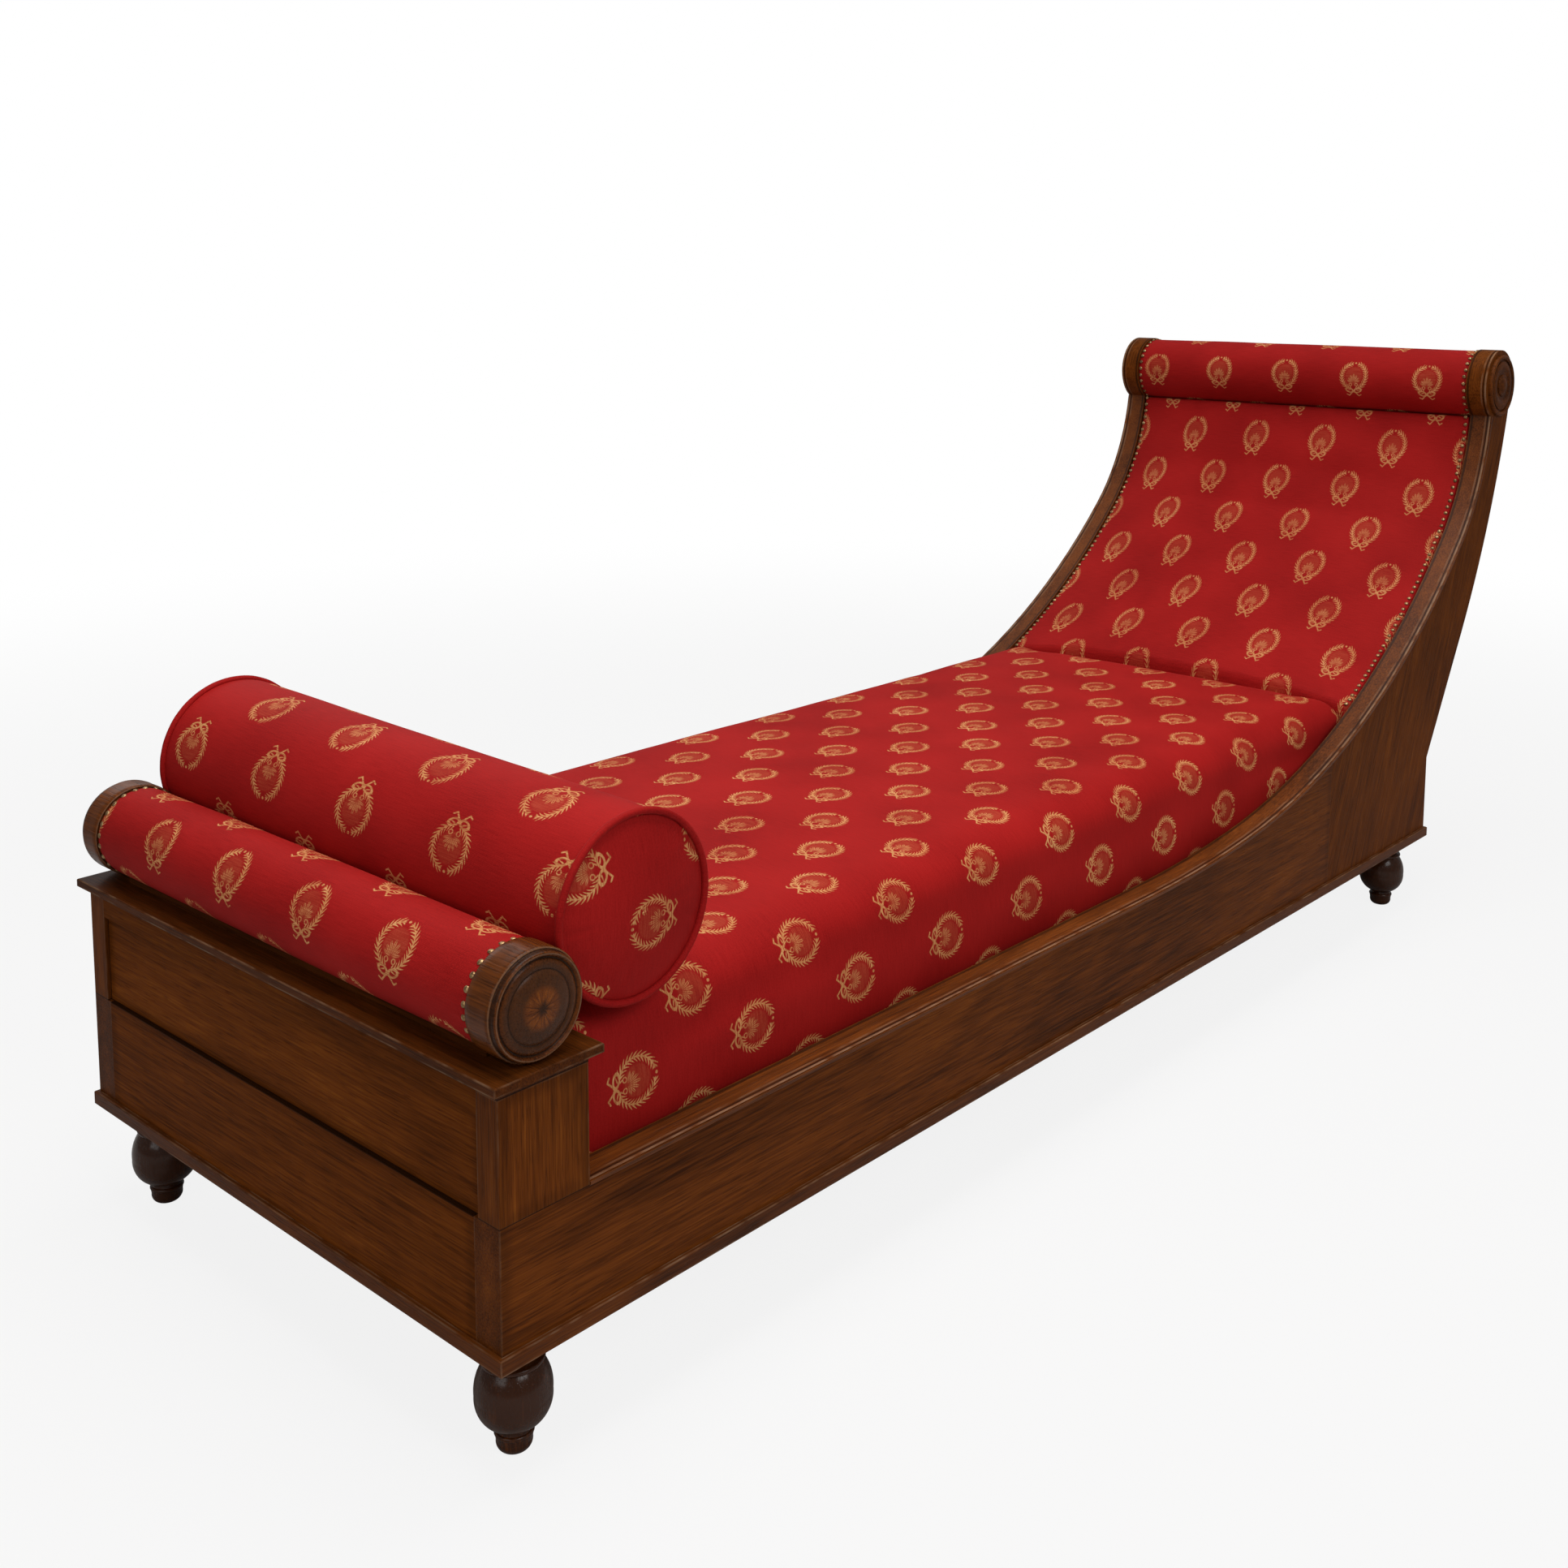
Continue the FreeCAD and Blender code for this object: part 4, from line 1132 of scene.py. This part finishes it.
def makeRoll(name, place, cover, padding, cx, cz, radius, ends):
    low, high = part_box(cover)
    girthRadius = (high.x - low.x) / 2 - 0.0008  # the pattern keeps the size it has on the solid
    around = rolls["around"]
    first, last = ends
    stations = stationsAlong(first, last, rolls["step"], 1, (0.0, 0.0012, 0.004, 0.008))
    grid = []
    for y in stations:
        fromEnd = min(y - first, last - y)
        middle = 2 * (y - first) / (last - first) - 1
        tuck = rolls["tuck"] * math.exp(-fromEnd / 0.0022)
        line = []
        for k in range(around):
            angle = 2 * math.pi * k / around
            wave = noise.noise(Vector((math.cos(angle) * 1.5, math.sin(angle) * 1.5, y * 9.0 + cx)))
            r = radius - tuck + wave * rolls["uneven"] - 0.0006 * middle**2
            line.append(ringPoint(cx, cz, y, r, angle))
        grid.append(line)

    def run(faceRow, row, column):
        return stations[row], girthRadius * 2 * math.pi * column / around

    # the rolls' cloth drawn a little darker: painted shade
    piece = gridPiece(name, grid, run, "frame", redCloth(name + "Cloth", place, gold=0.95, paintedShade=0.03))
    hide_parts(cover, padding)


headHalf = side("head_roll_cover", 1, True)
for name, start, x, z, radius, ends in (
    ("footRoll", "foot_roll", footRollX, footRollZ, footRollRadius, footRollEnds),
    ("headRoll", "head_roll", headX, headZ, rollRadius - 0.0008, (-headHalf, headHalf)),
):
    makeRoll(name, name, start + "_cover", start + "_padding", x, z, radius, ends)
print("rolls made")

# bolster
bolster = {
    "around": 120,
    "stations": 52,
    "dome": 0.013,
    "cornerRound": 0.005,
    "piping": 0.0034,
    "swell": 0.003,
    "gather": 0.0026,
}
bolLow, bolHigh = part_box("bolster_cover")
bolX, bolZ = (bolLow.x + bolHigh.x) / 2, (bolLow.z + bolHigh.z) / 2
bolRadius = (bolHigh.z - bolLow.z) / 2 - 0.001
seamY = bolHigh.y - 0.0115
# how the middle of each end lies off the solid's axis, in x and z
bolNear, bolFar = (-0.0082, -0.0035), (-0.0160, 0.0095)


def restBolster(piece):
    # turns the finished shape so that it leans on the foot roll
    for v in piece.data.vertices:
        share = (v.co.y / seamY + 1) / 2
        v.co.x += bolNear[0] + (bolFar[0] - bolNear[0]) * share
        v.co.z += bolNear[1] + (bolFar[1] - bolNear[1]) * share
    piece.data.update()


def bolsterProfile():
    # radius and place along the axis, from the middle of one end to that of the other
    corner = bolster["cornerRound"]
    rim = bolRadius - corner
    path = []
    for k in range(16):
        r = max(0.004, rim * (k / 15) ** 0.9)
        path.append((r, -(seamY + bolster["dome"] * (1 - (r / rim) ** 2))))
    for k in range(1, 5):
        a = math.radians(90 * k / 5)
        path.append((rim + corner * math.sin(a), -seamY + corner * (1 - math.cos(a))))
    start = -seamY + corner
    count = bolster["stations"]
    straight = [(bolRadius, start - 2 * start * k / count) for k in range(count + 1)]
    return path + straight + [(r, -y) for r, y in path[::-1]]


def makeBolster():
    profile = bolsterProfile()
    around = bolster["around"]
    ends = 18  # rows of faces that belong to each end
    rim = bolRadius - bolster["cornerRound"]
    grid = []
    for number, (r, y) in enumerate(profile):
        line = []
        onEnd = number < 20 or number >= len(profile) - 20
        for k in range(around):
            angle = 2 * math.pi * k / around
            dx, dz = -math.sin(angle), -math.cos(angle)
            if onEnd:
                # small gathers where the end is sewn to the piping
                gather = noise.noise(Vector((dx * 8.0, dz * 8.0, r * 14.0)))
                inward = gather * bolster["gather"] * min(1.0, r / rim) ** 3 * (1 - (r / bolRadius) ** 12)
                line.append(Vector((bolX + r * dx, y + math.copysign(inward, -y), bolZ + r * dz)))
            else:
                fat = r + noise.noise(Vector((dx * 1.3, dz * 1.3, y * 7.0 + 2.0))) * 0.0012
                line.append(Vector((bolX + fat * dx, y, bolZ + fat * dz)))
        grid.append(line)
    last = len(profile) - 2 - ends

    def run(faceRow, row, column):
        if faceRow < ends or faceRow > last:
            p = grid[row][column % around]
            return p.z - bolZ, p.x - bolX
        return profile[row][1], bolRadius * 2 * math.pi * column / around

    piece = gridPiece("bolsterCover", grid, run, "bolster", redCloth("bolsterCloth", "bolster", gold=0.95))
    mesh = piece.data
    mesh.materials.append(redCloth("bolsterEndCloth", "bolsterEnd", gold=0.95))
    marks = [1] * len(mesh.polygons)
    for face in range((len(profile) - 1) * around):
        marks[face] = int(not ends <= face // around <= last)
    mesh.polygons.foreach_set("material_index", marks)

    def held(p):
        return 1.0 if abs(abs(p.y) - seamY) < 0.006 else 0.0

    stuff(piece, held, bolster["swell"], pressure=3.0)
    restBolster(piece)
    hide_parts("bolster_cover", "bolster_filling")
    smoother(piece)


makeBolster()


def makePiping(name, y, node):
    # a cord covered in the same red cloth, round the end seam
    around, tube = 120, 10
    ring = bolRadius + 0.0005
    grid = []
    for k in range(around):
        angle = 2 * math.pi * k / around
        dx, dz = -math.sin(angle), -math.cos(angle)
        fat = bolster["piping"] * (1 + 0.06 * noise.noise(Vector((dx * 9, dz * 9, y))))
        line = []
        for j in range(tube):
            t = 2 * math.pi * j / tube
            r = ring + fat * math.cos(t)
            line.append(Vector((bolX + r * dx, y + fat * math.sin(t), bolZ + r * dz)))
        grid.append(line)

    def run(faceRow, row, column):
        return bolster["piping"] * 2 * math.pi * column / tube, ring * 2 * math.pi * row / around

    # the piping drawn darker: painted shade
    finish = redCloth(name + "Cloth", paintedShade=0.05)
    piece = gridPiece(name, grid, run, "bolster", finish, closeRows=True, capEnds=False)
    restBolster(piece)
    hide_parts(node)


makePiping("pipingFront", -seamY, "bolster_piping_front")
makePiping("pipingBack", seamY, "bolster_piping_back")
print("bolster made")

# cloth on the outer back and inside the foot box
outer = {
    "rake": 57.5,
    "straight": 0.215,
    "meet": 14.0,
    "rim": 0.058,
    "inset": 0.003,
    "thick": 0.009,
    "full": 0.0015,
}
rearX = side("head_rail", 0, True)


def rearEdge(inward, count):
    # the rear edge of the arms, from the base up to the head roll
    rake = math.radians(outer["rake"])
    away = Vector((-math.sin(rake), 0, math.cos(rake)))
    along = Vector((math.cos(rake), 0, math.sin(rake)))
    foot = Vector((rearX, 0, railTop))
    bend = foot + along * outer["straight"]
    meetAngle = math.radians(outer["meet"])
    meetX = headX + outer["rim"] * math.cos(meetAngle) * 0.995
    meet = Vector((meetX, 0, headZ + outer["rim"] * math.sin(meetAngle)))
    chord = meet - bend
    radius = chord.length**2 / (2 * chord.dot(away))
    middle = bend + away * radius
    turn = 2 * math.asin(chord.length / (2 * radius))
    path = [foot + away * inward]
    for k in range(41):
        angle = rake - math.pi / 2 + turn * k / 40
        p = middle + Vector((math.cos(angle), 0, math.sin(angle))) * (radius - inward)
        if math.hypot(p.x - headX, p.z - headZ) > rollRadius + 0.0015:
            path.append(p)
    return spread(path, count)[0]


def makeOuterBack():
    count = 60
    half = innerY - 0.0005
    shares = [-1.0, -0.994, -0.98] + [k / 16 for k in range(-15, 16)] + [0.98, 0.994, 1.0]
    outside = rearEdge(outer["inset"], count)
    inside = rearEdge(outer["inset"] + outer["thick"], count)
    grid = []
    for share in shares:
        rounding = 0.002 * max(0.0, (abs(share) - 0.98) / 0.02) ** 2
        line = []
        for k, p in enumerate(outside):
            deep = inside[k] - p
            full = outer["full"] * (1 - share**4) * min(1.0, k / 6, (count - 1 - k) / 6)
            line.append(p + deep.normalized() * (rounding + outer["full"] - full))
        line += inside[::-1]
        grid.append([Vector((p.x, share * half, p.z)) for p in line])

    def run(faceRow, row, column):
        column = column % (2 * count)
        step = column if column < count else 2 * count - 1 - column
        return shares[row] * half, 0.69 * step / (count - 1)

    piece = gridPiece("outerBack", grid, run, "frame", redCloth("outerBackCloth", "outside", gold=0.9))
    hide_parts("back_panel")


makeOuterBack()


def makeLining():
    low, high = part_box("foot_lining")
    count = 14
    shares = [-1.0, -0.99, -0.96] + [k / 12 for k in range(-11, 12)] + [0.96, 0.99, 1.0]
    grid = []
    for share in shares:
        line = []
        for k in range(count):
            up = k / (count - 1)
            full = (1 - share**6) * (1 - (2 * up - 1) ** 6)
            x = high.x - 0.0025 * (1 - full)
            line.append(Vector((x, share * high.y, low.z + (high.z - low.z) * up)))
        line += [Vector((low.x, p.y, p.z)) for p in line[::-1]]
        grid.append(line)

    def run(faceRow, row, column):
        p = grid[row][column % (2 * count)]
        return p.y, p.z - low.z

    piece = gridPiece("footLining", grid, run, "frame", redCloth("liningCloth", "outside", gold=0.9))
    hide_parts("foot_lining")


makeLining()
print("outer back and lining made")

# brass nails
nails = {
    "pitch": 0.0120,
    "radius": 0.0033,
    "height": 0.0019,
    "inset": 0.0055,
    "sunk": 0.0014,
    "fromCap": 0.0045,
    "lift": 0.0002,
    "from": 25.5,  # degrees up the curve where the rows beside the back begin
    "short": 1.0,  # degrees they end before the head roll
    "astray": 0.00035,
    "tilt": 0.05,
}


def nailRow(name, places):
    rng = np.random.default_rng(len(name) * 7 + len(places))
    points, faces = [], []
    sides, rings = 10, 3
    for place, normal in places:
        normal = normal.normalized()
        one = normal.orthogonal().normalized()
        two = normal.cross(one)
        push = rng.normal(0, nails["astray"], 2)
        middle = place + one * push[0] + two * push[1]
        tilt = rng.normal(0, nails["tilt"], 2)
        normal = (normal + one * tilt[0] + two * tilt[1]).normalized()
        one = normal.orthogonal().normalized()
        two = normal.cross(one)
        base = len(points)
        for ring in range(rings):
            a = math.radians(90 * ring / rings)
            r = nails["radius"] * math.cos(a)
            h = nails["height"] * math.sin(a)
            for k in range(sides):
                t = 2 * math.pi * k / sides
                points.append(middle + one * (r * math.cos(t)) + two * (r * math.sin(t)) + normal * h)
        points.append(middle + normal * nails["height"])
        top = len(points) - 1
        for ring in range(rings - 1):
            for k in range(sides):
                k2 = (k + 1) % sides
                a, b = base + ring * sides, base + (ring + 1) * sides
                faces.append((a + k, a + k2, b + k2, b + k))
        last = base + (rings - 1) * sides
        for k in range(sides):
            faces.append((last + k, last + (k + 1) % sides, top))
        faces.append(tuple(base + k for k in reversed(range(sides))))
    makePiece(name, points, faces, "frame", brass)


brass = brassNail("nailBrass")


def sweepNails(y):
    places = []
    low = math.radians(nails["from"])
    high = sweepEnd - math.radians(nails["short"])
    angles = np.linspace(low, high, 600)
    line = [sweepPoint(a) for a in angles]
    travel = due = 0.0
    for k in range(1, len(line)):
        travel += (line[k] - line[k - 1]).length
        if travel >= due:
            a = angles[k]
            normal = Vector((-math.sin(a), 0, math.cos(a)))
            places.append((Vector((line[k].x, y, line[k].z)) + normal * nails["lift"], normal))
            due += nails["pitch"]
    return places


nailRow("nailsBackFront", sweepNails(-backHalf + nails["inset"]))
nailRow("nailsBackRear", sweepNails(backHalf - nails["inset"]))


def ringNails(cx, cz, radius, y):
    count = int(round(2 * math.pi * radius / nails["pitch"]))
    places = []
    for k in range(count):
        angle = 2 * math.pi * (k + 0.5) / count
        normal = Vector((-math.sin(angle), 0, -math.cos(angle)))
        places.append((Vector((cx, y, cz)) + normal * radius, normal))
    return places


for name, x, z, radius, y in (
    ("nailsFootRollFront", footRollX, footRollZ, footRollRadius, footRollEnds[0]),
    ("nailsFootRollRear", footRollX, footRollZ, footRollRadius, footRollEnds[1]),
    ("nailsHeadRollFront", headX, headZ, rollRadius, -headHalf),
    ("nailsHeadRollRear", headX, headZ, rollRadius, headHalf),
):
    nailRow(name, ringNails(x, z, radius - nails["sunk"], y - math.copysign(nails["fromCap"], y)))
print("nails set")
